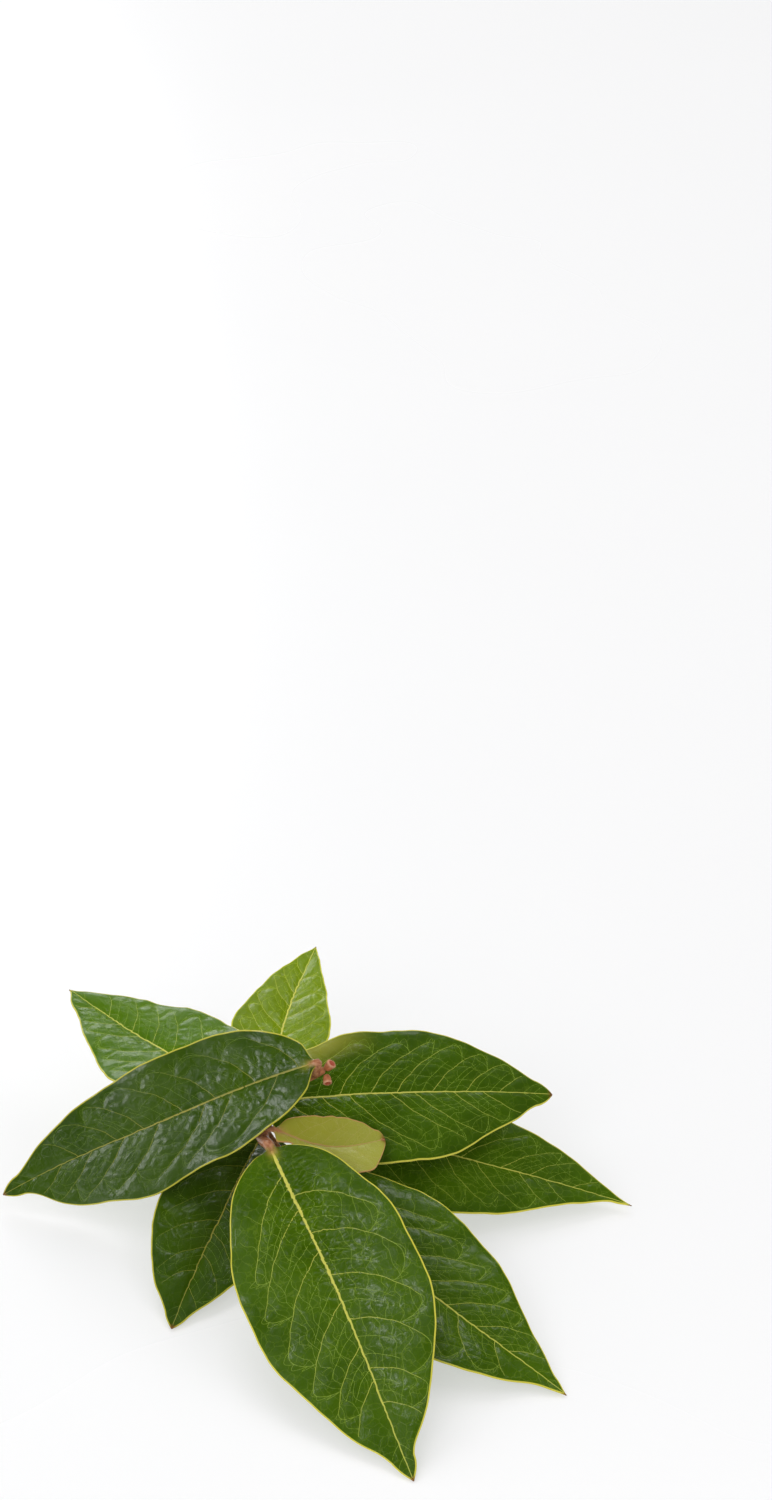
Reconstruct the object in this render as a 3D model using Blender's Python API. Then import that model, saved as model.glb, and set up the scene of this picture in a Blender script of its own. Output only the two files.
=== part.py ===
"""Sprig of bay laurel: a short cut twig with eight full leaves, one young leaf and two tip buds.

The twig lies with its cut end on the surface and curves upward to its tip.  The leaves spread
round its upper end; three of them droop until their tips touch the surface in front.

Frame: millimetres in the tables, metres in the meshes.  +Z is up and +Y runs along the sprig's
longest side, from the drooping tips in front to the back.  The origin is on the surface below
the middle of the sprig.
"""

import math
from typing import NamedTuple

import bmesh
import bpy
from mathutils import Vector

MM = 0.001

# ---------------------------------------------------------------- driving dimensions (mm, degrees)
ORIGIN = Vector((0.1, 0.3, 0.24))      # on the surface below the middle of the layout below

BLADE_THICKNESS = 0.50                 # leathery blade
MARGIN_THICKNESS = 0.34                # the rim is thinner
MIDRIB_HALF_WIDTH = 1.0                # ridge under the blade, at its foot
MIDRIB_DEPTH = 0.75                    # how far the ridge stands below the blade at the base
TIP_HALF_WIDTH = 0.30                  # blunt end of the drawn-out tip
PETIOLE_GAP = 0.40                     # clearance between a petiole's foot and the twig
NECK_LENGTH = 2.8                      # usual run in which a round petiole opens into its blade

MARGIN_STATIONS = (0.2, 0.4, 0.6, 0.8, 0.92)   # where a leaf's margin offsets act
MARGIN_SPREAD = (0.1, 0.1, 0.1, 0.1, 0.05)
BLADE_RINGS = 18
PETIOLE_RINGS = 4
BLADE_COLUMNS = (1.0, 0.66, 0.33)      # across each half of the blade, margin first

TWIG_SIDES = 12
TWIG_RINGS = 30
TWIG_PATH = (                          # from the cut end to the tip
    (-3.0, 60.0, 1.9),
    (-7.5, 43.0, 7.6),
    (-11.0, 28.0, 14.0),
    (-12.0, 16.0, 19.8),
    (-10.8, 8.7, 24.0),
    (-6.6, 10.3, 30.7),
    (1.3, 11.0, 36.0),
)
TWIG_RADIUS = (1.75, 0.78)             # at the cut end and at the tip
TWIG_NODES = (0.14, 0.27, 0.365, 0.41, 0.455, 0.50, 0.575, 0.65)   # swollen leaf nodes along the twig
NODE_SWELL = 0.22
NODE_LENGTH = 0.022


class Leaf(NamedTuple):
    """One leaf: its midrib in space, the outline of its blade and where its petiole starts."""

    base: tuple        # foot of the blade on the midrib
    length: float      # along the midrib
    width: float       # overall, before the margin offsets
    heading: float     # direction of the midrib in plan, 0 = +X, 90 = +Y
    turn: float        # change of heading from base to tip
    sway: float        # S-shaped wander of the heading
    rise: float        # slope of the midrib at the base
    droop: float       # loss of slope from base to tip
    roll: float        # tilt about the midrib, left side up
    twist: float       # change of roll from base to tip
    fold: float        # rise of each half of the blade from the midrib
    wave: float        # height of the margin's undulation
    waves: float       # undulations along the margin
    widest: float      # where the blade is widest, as a share of its length
    blunt: float       # roundness of the base, small = round
    left: tuple        # margin offsets at MARGIN_STATIONS, left side
    right: tuple
    node: float        # where the petiole leaves the twig, as a share of the twig's length
    petiole: float     # petiole radius
    colour: tuple
    neck: float = NECK_LENGTH          # run in which the round petiole opens into the blade


LEAVES = {
    "leaf_front": Leaf(
        base=(-9.0, 2.8, 23.0), length=80.5, width=35.9, heading=-68.7, turn=-0.3, sway=1.5,
        rise=-14.0, droop=4.5, roll=15.4, twist=3.4, fold=6.5, wave=0.3, waves=3.4,
        widest=0.40, blunt=0.63,
        left=(-1.2, -0.9, 0.6, -0.4, -1.6), right=(-0.9, 0.1, 1.1, 0.1, -1.0),
        node=0.645, petiole=1.05, neck=1.4, colour=(0.055, 0.125, 0.022),
    ),
    "leaf_top_left": Leaf(
        base=(0.1, 9.5, 38.75), length=73.3, width=25.7, heading=-195.5, turn=23.7, sway=5.4,
        rise=-26.7, droop=4.0, roll=-42.7, twist=-19.7, fold=1.6, wave=0.3, waves=3.2,
        widest=0.41, blunt=0.58,
        left=(-1.2, -1.2, 1.5, 1.6, -1.4), right=(0.4, -0.6, -0.7, -0.8, -1.0),
        node=0.975, petiole=0.80, colour=(0.050, 0.115, 0.024),
    ),
    "leaf_back_left": Leaf(
        base=(-17.5, 18.4, 26.9), length=53.5, width=27.5, heading=-228.5, turn=0.5, sway=0.5,
        rise=-8.0, droop=-9.5, roll=-8.0, twist=3.5, fold=4.0, wave=0.3, waves=3.0,
        widest=0.36, blunt=0.67,
        left=(0.0, 0.4, -0.7, -0.4, 0.7), right=(0.9, -0.3, -0.4, 0.2, 0.5),
        node=0.50, petiole=0.9, colour=(0.085, 0.185, 0.035),
    ),
    "leaf_back": Leaf(
        base=(-9.6, 22.0, 23.0), length=49.0, width=20.0, heading=84.0, turn=-8.0, sway=2.5,
        rise=5.5, droop=1.5, roll=1.0, twist=0.0, fold=6.0, wave=0.3, waves=2.6,
        widest=0.39, blunt=0.70,
        left=(0.0, 0.6, -0.1, -0.1, 0.4), right=(0.0, 0.1, -0.7, -0.6, 0.0),
        node=0.455, petiole=0.85, colour=(0.170, 0.310, 0.020),
    ),
    "leaf_right_top": Leaf(
        base=(-10.9, 13.9, 26.0), length=60.4, width=31.6, heading=16.2, turn=-8.1, sway=-1.0,
        rise=-2.6, droop=7.8, roll=22.9, twist=4.0, fold=-1.4, wave=0.3, waves=3.0,
        widest=0.37, blunt=0.46,
        left=(-2.3, -0.9, 0.8, 0.0, -0.8), right=(-2.0, 0.3, 0.8, -0.8, -1.0),
        node=0.59, petiole=0.9, neck=1.0, colour=(0.070, 0.150, 0.020),
    ),
    "leaf_right_low": Leaf(
        base=(-3.1, 23.0, 15.5), length=69.0, width=30.5, heading=-5.5, turn=-6.5, sway=-2.5,
        rise=-9.0, droop=5.5, roll=17.5, twist=1.5, fold=3.0, wave=0.3, waves=3.0,
        widest=0.36, blunt=0.73,
        left=(0.0, 0.0, -0.6, 0.6, 0.0), right=(0.0, 0.5, -0.2, -0.9, -0.7),
        node=0.41, petiole=0.9, colour=(0.060, 0.130, 0.022),
    ),
    "leaf_front_right": Leaf(
        base=(-3.5, 3.0, 16.6), length=72.5, width=34.5, heading=-45.5, turn=4.5, sway=-4.5,
        rise=-11.0, droop=3.5, roll=4.0, twist=0.5, fold=2.5, wave=0.3, waves=3.2,
        widest=0.39, blunt=0.72,
        left=(-0.2, -0.1, 0.4, -0.8, -0.5), right=(0.0, 0.0, -0.1, 0.5, -0.7),
        node=0.575, petiole=0.9, colour=(0.060, 0.130, 0.024),
    ),
    "leaf_front_left": Leaf(
        base=(-11.2, 29.2, 8.1), length=57.8, width=26.4, heading=-109.3, turn=5.1, sway=1.2,
        rise=-2.5, droop=9.8, roll=-8.0, twist=0.0, fold=6.3, wave=0.3, waves=2.4,
        widest=0.40, blunt=0.57,
        left=(-1.0, -0.1, 0.5, -0.2, -0.6), right=(-1.4, -0.2, 0.2, 0.1, -0.6),
        node=0.27, petiole=0.85, colour=(0.045, 0.100, 0.020),
    ),
    "young_leaf": Leaf(
        base=(-8.50, 6.66, 24.78), length=23.15, width=13.6, heading=-12.3, turn=28.0, sway=-9.4,
        rise=-19.0, droop=-23.1, roll=23.8, twist=3.5, fold=13.0, wave=0.1, waves=1.5,
        widest=0.51, blunt=0.60,
        left=(-0.3, -0.6, -0.5, -0.4, -0.6), right=(-3.4, -0.5, 0.9, 1.5, 0.0),
        node=0.685, petiole=0.56, neck=1.6, colour=(0.230, 0.260, 0.060),
    ),
}

BUDS = {                               # centre, direction, length and radius
    "tip_bud": ((2.7, 10.9, 37.2), (0.60, -0.10, 0.79), 1.9, 0.90),
    "side_bud": ((2.2, 8.9, 35.0), (0.15, -0.80, -0.45), 1.8, 0.80),
}


# ---------------------------------------------------------------- small helpers
def smooth(value):
    """Ease from 0 to 1."""
    value = min(max(value, 0.0), 1.0)
    return value * value * (3.0 - 2.0 * value)


def spline_point(points, share):
    """Point at a share of the way along a Catmull-Rom curve through the points."""
    spans = len(points) - 1
    place = min(max(share, 0.0), 1.0) * spans
    span = min(int(place), spans - 1)
    u = place - span
    p1, p2 = Vector(points[span]), Vector(points[span + 1])
    p0 = Vector(points[span - 1]) if span > 0 else 2 * p1 - p2
    p3 = Vector(points[span + 2]) if span + 2 <= spans else 2 * p2 - p1
    return 0.5 * (
        2 * p1
        + (p2 - p0) * u
        + (2 * p0 - 5 * p1 + 4 * p2 - p3) * u * u
        + (3 * p1 - p0 - 3 * p2 + p3) * u * u * u
    )


def spline_tangent(points, share):
    """Unit direction of that curve."""
    step = 0.004
    return (spline_point(points, share + step) - spline_point(points, share - step)).normalized()


def loft(name, rings, colour, roughness):
    """Close a run of equal rings with faces between them and a cap on each end."""
    shape = bmesh.new()
    rows = [[shape.verts.new((point - ORIGIN) * MM) for point in ring] for ring in rings]
    count = len(rows[0])
    for row, following in zip(rows, rows[1:]):
        for i in range(count):
            j = (i + 1) % count
            shape.faces.new((row[i], row[j], following[j], following[i]))
    shape.faces.new(rows[0])
    shape.faces.new(rows[-1])
    bmesh.ops.triangulate(shape, faces=shape.faces[:])
    bmesh.ops.recalc_face_normals(shape, faces=shape.faces[:])
    mesh = bpy.data.meshes.new(name)
    shape.to_mesh(mesh)
    shape.free()
    mesh.shade_smooth()
    mesh.set_sharp_from_angle(angle=math.radians(50))
    mesh.materials.append(principled(name, colour, roughness))
    piece = bpy.data.objects.new(name, mesh)
    bpy.context.scene.collection.objects.link(piece)
    return piece


def principled(name, colour, roughness):
    """Plain surface of one colour."""
    material = bpy.data.materials.new(name + "_surface")
    material.use_nodes = True
    shader = material.node_tree.nodes["Principled BSDF"]
    shader.inputs["Base Color"].default_value = (*colour, 1.0)
    shader.inputs["Roughness"].default_value = roughness
    shader.inputs["Metallic"].default_value = 0.0
    return material


# ---------------------------------------------------------------- twig
def twig_radius(share):
    """Tapering radius with a swelling at each leaf node."""
    radius = TWIG_RADIUS[0] + (TWIG_RADIUS[1] - TWIG_RADIUS[0]) * smooth(share)
    for node in TWIG_NODES:
        radius += NODE_SWELL * math.exp(-(((share - node) / NODE_LENGTH) ** 2))
    return radius


def build_twig():
    """Round woody twig, cut square at its lower end."""
    rings = []
    side = Vector((1.0, 0.0, 0.0))
    for step in range(TWIG_RINGS + 1):
        share = step / TWIG_RINGS
        along = spline_tangent(TWIG_PATH, share)
        side = (side - along * side.dot(along)).normalized()
        other = along.cross(side)
        centre = spline_point(TWIG_PATH, share)
        radius = twig_radius(share)
        ring = []
        for k in range(TWIG_SIDES):
            angle = 2 * math.pi * k / TWIG_SIDES
            ring.append(centre + radius * (math.cos(angle) * side + math.sin(angle) * other))
        rings.append(ring)
    return loft("twig", rings, (0.21, 0.10, 0.055), 0.62)


# ---------------------------------------------------------------- leaves
def midrib_frame(leaf, share):
    """Midrib point with its forward, left and up directions at a share of the blade's length."""
    steps = 60
    point = Vector(leaf.base)
    stride = leaf.length * share / steps
    for step in range(steps):
        point += stride * midrib_direction(leaf, share * (step + 0.5) / steps)
    forward = midrib_direction(leaf, share)
    heading = math.atan2(forward.y, forward.x)
    flat_left = Vector((-math.sin(heading), math.cos(heading), 0.0))
    flat_up = forward.cross(flat_left)
    roll = math.radians(leaf.roll + leaf.twist * share)
    left = flat_left * math.cos(roll) + flat_up * math.sin(roll)
    return point, forward, left, forward.cross(left)


def midrib_direction(leaf, share):
    """Direction of the midrib."""
    wander = leaf.sway * math.sin(2 * math.pi * share)
    heading = math.radians(leaf.heading + leaf.turn * share + wander)
    slope = math.radians(leaf.rise - leaf.droop * share)
    level = math.cos(slope)
    return Vector((level * math.cos(heading), level * math.sin(heading), math.sin(slope)))


def half_width(leaf, share, side):
    """Distance from midrib to margin on one side (+1 left, -1 right)."""
    if share <= 0.0 or share >= 1.0:
        return 0.0
    taper = leaf.blunt * (1 - leaf.widest) / leaf.widest
    shape = (share / leaf.widest) ** leaf.blunt * ((1 - share) / (1 - leaf.widest)) ** taper
    width = leaf.width / 2 * shape
    offsets = leaf.left if side > 0 else leaf.right
    window = min(share / 0.1, (1 - share) / 0.06, 1.0)
    for station, spread, offset in zip(MARGIN_STATIONS, MARGIN_SPREAD, offsets):
        width += offset * window * math.exp(-(((share - station) / spread) ** 2))
    return max(width, 0.0)


def blade_section(leaf, share):
    """Closed ring round the blade: upper side from left to right, lower side back."""
    point, _, left, up = midrib_frame(leaf, share)
    in_blade = smooth(share * leaf.length / leaf.neck)
    rib = MIDRIB_DEPTH * (1 - share) ** 1.3
    upper, lower = [], []
    columns = [(1, v) for v in BLADE_COLUMNS] + [(1, None), (1, 0.0), (-1, None)]
    columns += [(-1, v) for v in reversed(BLADE_COLUMNS)]
    for place, (side, v) in enumerate(columns):
        width = math.hypot(half_width(leaf, share, side), TIP_HALF_WIDTH)
        width = max(width, leaf.petiole * (1 - in_blade))
        foot = min(MIDRIB_HALF_WIDTH / width, 0.2)
        v = foot if v is None else v
        lean = math.radians(leaf.fold)
        undulate = leaf.wave * v * v * math.sin(2 * math.pi * leaf.waves * share + side)
        centre = point + left * (side * v * width * math.cos(lean))
        centre += up * (v * width * math.sin(lean) + undulate * smooth(4 * (1 - share)))
        half = (BLADE_THICKNESS + (MARGIN_THICKNESS - BLADE_THICKNESS) * v) / 2
        ridge = rib * (1 - v / foot) if v < foot else 0.0
        angle = math.pi * (0.06 + 0.88 * place / (len(columns) - 1))
        round_left = left * (leaf.petiole * math.cos(angle))
        round_up = up * (leaf.petiole * math.sin(angle))
        upper.append((point + round_left + round_up).lerp(centre + up * half, in_blade))
        lower.append((point + round_left - round_up).lerp(centre - up * (half + ridge), in_blade))
    return upper + lower[::-1]


def petiole_sections(leaf):
    """Rings of the petiole, from the gap beside the twig to the foot of the blade."""
    end, forward, left, up = midrib_frame(leaf, 0.0)
    centre = spline_point(TWIG_PATH, leaf.node)
    along = spline_tangent(TWIG_PATH, leaf.node)
    reach = end - centre
    out = (reach - along * reach.dot(along)).normalized()
    start = centre + out * (twig_radius(leaf.node) + PETIOLE_GAP)
    pull = (end - start).length * 0.4
    handles = (start, start + out * pull, end - forward * pull, end)
    rings = []
    for step in range(PETIOLE_RINGS):
        u = step / PETIOLE_RINGS
        point = bezier(handles, u)
        tangent = (bezier(handles, u + 0.02) - bezier(handles, u - 0.02)).normalized()
        if step == 0:
            tangent = out
        side = (left - tangent * left.dot(tangent)).normalized()
        above = tangent.cross(side)
        radius = leaf.petiole * (1.15 - 0.15 * u)
        ring = []
        count = 2 * len(BLADE_COLUMNS) + 3
        for place in range(2 * count):
            k = place if place < count else 2 * count - 1 - place
            angle = math.pi * (0.06 + 0.88 * k / (count - 1))
            lift = math.sin(angle) if place < count else -math.sin(angle)
            ring.append(point + radius * (math.cos(angle) * side + lift * above))
        rings.append(ring)
    return rings


def bezier(handles, u):
    """Point on a cubic curve."""
    a, b, c, d = handles
    w = 1 - u
    return a * w**3 + b * (3 * w * w * u) + c * (3 * w * u * u) + d * u**3


def build_leaf(name, leaf):
    """Petiole and blade in one closed body."""
    rings = petiole_sections(leaf)
    for step in range(BLADE_RINGS + 1):
        share = step / BLADE_RINGS
        share = 0.7 * share + 0.3 * (0.5 - 0.5 * math.cos(math.pi * share))
        rings.append(blade_section(leaf, share))
    return loft(name, rings, leaf.colour, 0.38)


# ---------------------------------------------------------------- buds
def build_bud(name, centre, direction, length, radius):
    """Plump pointed bud."""
    along = Vector(direction).normalized()
    side = along.orthogonal().normalized()
    other = along.cross(side)
    start = Vector(centre) - along * (length / 2)
    rings = []
    for step in range(7):
        share = step / 6
        swell = radius * (0.45 + 0.55 * math.sin(math.pi * min(share * 1.15 + 0.1, 1.0)) ** 0.8)
        swell *= math.sqrt(max(1 - share**3, 0.03))
        ring = []
        for k in range(10):
            angle = 2 * math.pi * k / 10
            spoke = math.cos(angle) * side + math.sin(angle) * other
            ring.append(start + along * (length * share) + swell * spoke)
        rings.append(ring)
    return loft(name, rings, (0.50, 0.19, 0.11), 0.5)


def main():
    for thing in list(bpy.data.objects):
        bpy.data.objects.remove(thing, do_unlink=True)
    build_twig()
    for name, leaf in LEAVES.items():
        build_leaf(name, leaf)
    for name, (centre, direction, length, radius) in BUDS.items():
        build_bud(name, centre, direction, length, radius)


main()
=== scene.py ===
"""Looks of a bay laurel sprig: a cut twig, eight full leaves, one young leaf and two buds.

Tables hold millimetres and degrees; meshes are in metres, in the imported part's frame.  A leaf is
laid out flat first, with x along its midrib and y towards its left margin.  Its veins are drawn
on that flat blade, and the same flat coordinates drive the relief, the ribs and the finish.
"""

import logging
import math
from dataclasses import dataclass
from enum import Enum
from typing import Any

import bpy
import numpy as np
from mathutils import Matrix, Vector


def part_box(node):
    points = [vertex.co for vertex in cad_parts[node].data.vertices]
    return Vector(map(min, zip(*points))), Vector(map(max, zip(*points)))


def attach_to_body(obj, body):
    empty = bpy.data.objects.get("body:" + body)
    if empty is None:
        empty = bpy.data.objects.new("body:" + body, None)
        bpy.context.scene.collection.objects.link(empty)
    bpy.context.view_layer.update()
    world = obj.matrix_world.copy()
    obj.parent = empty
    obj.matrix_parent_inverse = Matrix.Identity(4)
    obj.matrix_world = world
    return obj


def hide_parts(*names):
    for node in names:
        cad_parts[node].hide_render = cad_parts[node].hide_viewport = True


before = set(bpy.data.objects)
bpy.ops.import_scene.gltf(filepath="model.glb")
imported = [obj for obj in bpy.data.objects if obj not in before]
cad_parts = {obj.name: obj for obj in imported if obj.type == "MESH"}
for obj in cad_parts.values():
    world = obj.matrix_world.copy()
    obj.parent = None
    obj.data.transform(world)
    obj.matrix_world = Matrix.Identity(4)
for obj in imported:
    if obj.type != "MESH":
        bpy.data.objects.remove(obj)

logging.basicConfig(level=logging.INFO, format="%(message)s")
log = logging.getLogger("sprig")

MM = 0.001
ORIGIN = np.array((0.1, 0.3, 0.24))    # the layout's point that is the frame's origin
UNDER_SHIFT = 40.0                     # flat z of a blade's lower side, so its patterns differ
Feed = Any                             # a number, tuple, name, object or the socket that feeds it
Colour = tuple[float, float, float]


# ---------------------------------------------------------------- small maths
def smooth(value: np.ndarray | float) -> np.ndarray | float:
    """Ease from 0 to 1."""
    value = np.clip(value, 0.0, 1.0)
    return value * value * (3.0 - 2.0 * value)


def unit(vectors: np.ndarray) -> np.ndarray:
    """Vectors of length one."""
    return vectors / np.linalg.norm(vectors, axis=-1, keepdims=True)


def paint(code: str) -> Colour:
    """Linear colour from a hexadecimal display colour.

    Args:
        code: six hexadecimal digits.

    Returns:
        Red, green and blue in linear light.
    """
    shares = [int(code[i:i + 2], 16) / 255 for i in (0, 2, 4)]
    return tuple(s / 12.92 if s <= 0.04045 else ((s + 0.055) / 1.055) ** 2.4 for s in shares)


def spline(points: tuple, share: np.ndarray) -> np.ndarray:
    """Points at shares of the way along a Catmull-Rom curve.

    Args:
        points: the points that the curve passes through.
        share: places along it, from 0 to 1.

    Returns:
        One point for each share.
    """
    knots = np.array(points, float)
    knots = np.vstack((2 * knots[0] - knots[1], knots, 2 * knots[-1] - knots[-2]))
    spans = len(points) - 1
    place = np.clip(share, 0.0, 1.0) * spans
    span = np.minimum(place.astype(int), spans - 1)
    u = (place - span)[:, None]
    p0, p1, p2, p3 = (knots[span + i] for i in range(4))
    return 0.5 * (2 * p1 + (p2 - p0) * u + (2 * p0 - 5 * p1 + 4 * p2 - p3) * u**2
                  + (3 * p1 - p0 - 3 * p2 + p3) * u**3)


def bezier(handles: tuple, u: np.ndarray) -> np.ndarray:
    """Points on a cubic curve.

    Args:
        handles: start, two handles and end.
        u: places from 0 to 1.

    Returns:
        One point for each place.
    """
    a, b, c, d = handles
    u = np.asarray(u, float)[:, None]
    w = 1 - u
    return a * w**3 + 3 * b * w * w * u + 3 * c * w * u * u + d * u**3


# ---------------------------------------------------------------- meshes
def plain_object(name: str, mesh: bpy.types.Mesh) -> bpy.types.Object:
    """An object for a mesh, linked to the scene.

    Args:
        name: the object's name.
        mesh: its mesh.

    Returns:
        The object.
    """
    thing = bpy.data.objects.new(name, mesh)
    bpy.context.scene.collection.objects.link(thing)
    return thing


def give(mesh: bpy.types.Mesh, name: str, values: np.ndarray) -> None:
    """Store numbers or vectors on a mesh's points.

    Args:
        mesh: the mesh.
        name: the attribute's name.
        values: one number or one vector for each point.
    """
    values = np.asarray(values, np.float32)
    kind, key = ("FLOAT", "value") if values.ndim == 1 else ("FLOAT_VECTOR", "vector")
    mesh.attributes.new(name, kind, "POINT").data.foreach_set(key, values.ravel())


def layout_mesh(name: str, points: np.ndarray, faces: list) -> bpy.types.Mesh:
    """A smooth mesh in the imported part's frame.

    Args:
        name: the mesh's name.
        points: its points, in millimetres in the layout.
        faces: point numbers of each face.

    Returns:
        The mesh.
    """
    mesh = bpy.data.meshes.new(name)
    mesh.from_pydata(((points - ORIGIN) * MM).tolist(), [], faces)
    mesh.shade_smooth()
    return mesh


def tube_faces(rows: int, sides: int) -> list[list[int]]:
    """Faces of a tube of rings that is closed at both ends.

    Args:
        rows: rings along the tube.
        sides: points in each ring.

    Returns:
        Point numbers of each face.
    """
    index = np.arange(rows * sides).reshape(rows, sides)
    after = np.roll(index, -1, 1)
    quads = np.stack((index[:-1], after[:-1], after[1:], index[1:]), -1).reshape(-1, 4)
    return [*quads.tolist(), index[0][::-1].tolist(), index[-1].tolist()]


def strands(name: str, paths: list[np.ndarray]) -> bpy.types.Object:
    """Open polylines as one object of loose edges.

    Args:
        name: the object's name.
        paths: points of each polyline.

    Returns:
        The object.
    """
    mesh = bpy.data.meshes.new(name)
    edges, first = [], 0
    for path in paths:
        edges += [(first + i, first + i + 1) for i in range(len(path) - 1)]
        first += len(path)
    mesh.from_pydata(np.vstack(paths).tolist(), edges, [])
    return plain_object(name, mesh)


# ---------------------------------------------------------------- node writing
class Wiring:
    """Writes nodes into one tree; each input is given a value or the socket that feeds it."""

    def __init__(self, tree: bpy.types.NodeTree) -> None:
        """Start writing into a tree."""
        self.tree = tree

    def add(self, kind: str, inputs: dict | None = None, **settings: Any) -> bpy.types.Node:
        """Add one node.

        Args:
            kind: Blender's name for the node.
            inputs: what goes into its sockets, by index or name.
            **settings: its own settings.

        Returns:
            The node.
        """
        node = self.tree.nodes.new(kind)
        for name, value in settings.items():
            setattr(node, name, value)
        for key, feed in (inputs or {}).items():
            if isinstance(feed, bpy.types.NodeSocket):
                self.tree.links.new(feed, node.inputs[key])
            else:
                node.inputs[key].default_value = feed
        return node

    def math(self, operation: str, a: Feed, b: Feed = 0.0, c: Feed = 0.0) -> bpy.types.NodeSocket:
        """Result of a sum on numbers."""
        return self.add("ShaderNodeMath", {0: a, 1: b, 2: c}, operation=operation).outputs[0]

    def chain(self, operation: str, feeds: tuple[Feed, ...]) -> bpy.types.NodeSocket:
        """Result of one operation on several numbers in turn.

        Args:
            operation: Blender's name for it.
            feeds: the numbers.

        Returns:
            The result's socket.
        """
        total = feeds[0]
        for feed in feeds[1:]:
            total = self.math(operation, total, feed)
        return total

    def times(self, *feeds: Feed) -> bpy.types.NodeSocket:
        """Product of numbers."""
        return self.chain("MULTIPLY", feeds)

    def plus(self, *feeds: Feed) -> bpy.types.NodeSocket:
        """Sum of numbers."""
        return self.chain("ADD", feeds)

    def vector(self, operation: str, a: Feed, b: Feed = (0.0, 0.0, 0.0)) -> bpy.types.NodeSocket:
        """Result of a sum on vectors; a dot product or length is its number."""
        node = self.add("ShaderNodeVectorMath", {0: a, 1: b}, operation=operation)
        return node.outputs[1 if operation in ("DOT_PRODUCT", "LENGTH") else 0]

    def scaled(self, a: Feed, share: Feed) -> bpy.types.NodeSocket:
        """Vector times a number."""
        return self.add("ShaderNodeVectorMath", {0: a, 3: share}, operation="SCALE").outputs[0]

    def ramp(self, value: Feed, start: float, end: float, low: float = 0.0,
             high: float = 1.0) -> bpy.types.NodeSocket:
        """Eased step of a number.

        Args:
            value: the number.
            start: where the step begins.
            end: where it is complete.
            low: result before it.
            high: result after it.

        Returns:
            The result's socket.
        """
        return self.add("ShaderNodeMapRange", {0: value, 1: start, 2: end, 3: low, 4: high},
                        interpolation_type="SMOOTHSTEP").outputs[0]

    def bell(self, value: Feed, reach: Feed) -> bpy.types.NodeSocket:
        """Bell curve of a number, 1 at 0 and fading over a reach."""
        ratio = self.math("DIVIDE", value, reach)
        return self.math("EXPONENT", self.times(ratio, ratio, -1.0))

    def noise(self, place: Feed, scale: float, detail: float = 2.0,
              warp: float = 0.0) -> bpy.types.NodeSocket:
        """Cloudy pattern from 0 to 1.

        Args:
            place: coordinates.
            scale: lumps in each unit of them.
            detail: octaves.
            warp: distortion.

        Returns:
            The pattern's socket.
        """
        return self.add("ShaderNodeTexNoise",
                        {"Vector": place, "Scale": scale, "Detail": detail,
                         "Distortion": warp}).outputs[0]

    def swing(self, place: Feed, scale: float, detail: float = 2.0,
              warp: float = 0.0) -> bpy.types.NodeSocket:
        """Cloudy pattern from -0.5 to 0.5, with the inputs of noise."""
        return self.math("SUBTRACT", self.noise(place, scale, detail, warp), 0.5)

    def cells(self, place: Feed, scale: float) -> bpy.types.NodeSocket:
        """Distance to the nearest wall of a cell pattern."""
        return self.add("ShaderNodeTexVoronoi", {"Vector": place, "Scale": scale},
                        feature="DISTANCE_TO_EDGE").outputs[0]

    def blend(self, share: Feed, a: Feed, b: Feed) -> bpy.types.NodeSocket:
        """Colour between two colours."""
        a, b = (c if isinstance(c, bpy.types.NodeSocket) else (*c, 1.0) for c in (a, b))
        return self.add("ShaderNodeMix", {0: share, 6: a, 7: b}, data_type="RGBA").outputs[2]


class FinishWiring(Wiring):
    """Writes one material."""

    def __init__(self, name: str) -> None:
        """Start a material with its shader.

        Args:
            name: the material's name.
        """
        self.material = bpy.data.materials.new(name)
        self.material.use_nodes = True
        super().__init__(self.material.node_tree)
        self.shader = self.tree.nodes["Principled BSDF"]

    def number(self, name: str) -> bpy.types.NodeSocket:
        """A number stored on the piece."""
        return self.add("ShaderNodeAttribute", attribute_name=name).outputs["Fac"]

    def place(self, name: str) -> bpy.types.NodeSocket:
        """A vector stored on the piece."""
        return self.add("ShaderNodeAttribute", attribute_name=name).outputs["Vector"]

    def surface(self, **sockets: Feed) -> bpy.types.Material:
        """Feed the shader and give the material.

        Args:
            **sockets: shader inputs, with underscores for the spaces in their names.

        Returns:
            The material.
        """
        for name, feed in sockets.items():
            socket = self.shader.inputs[name.replace("_", " ")]
            if isinstance(feed, bpy.types.NodeSocket):
                self.tree.links.new(feed, socket)
            else:
                socket.default_value = feed
        return self.material

    def bump(self, height: Feed, depth: float) -> bpy.types.NodeSocket:
        """Normal of a surface with this height pattern, depth in millimetres."""
        return self.add("ShaderNodeBump", {"Height": height, "Distance": depth * MM}).outputs[0]


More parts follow.
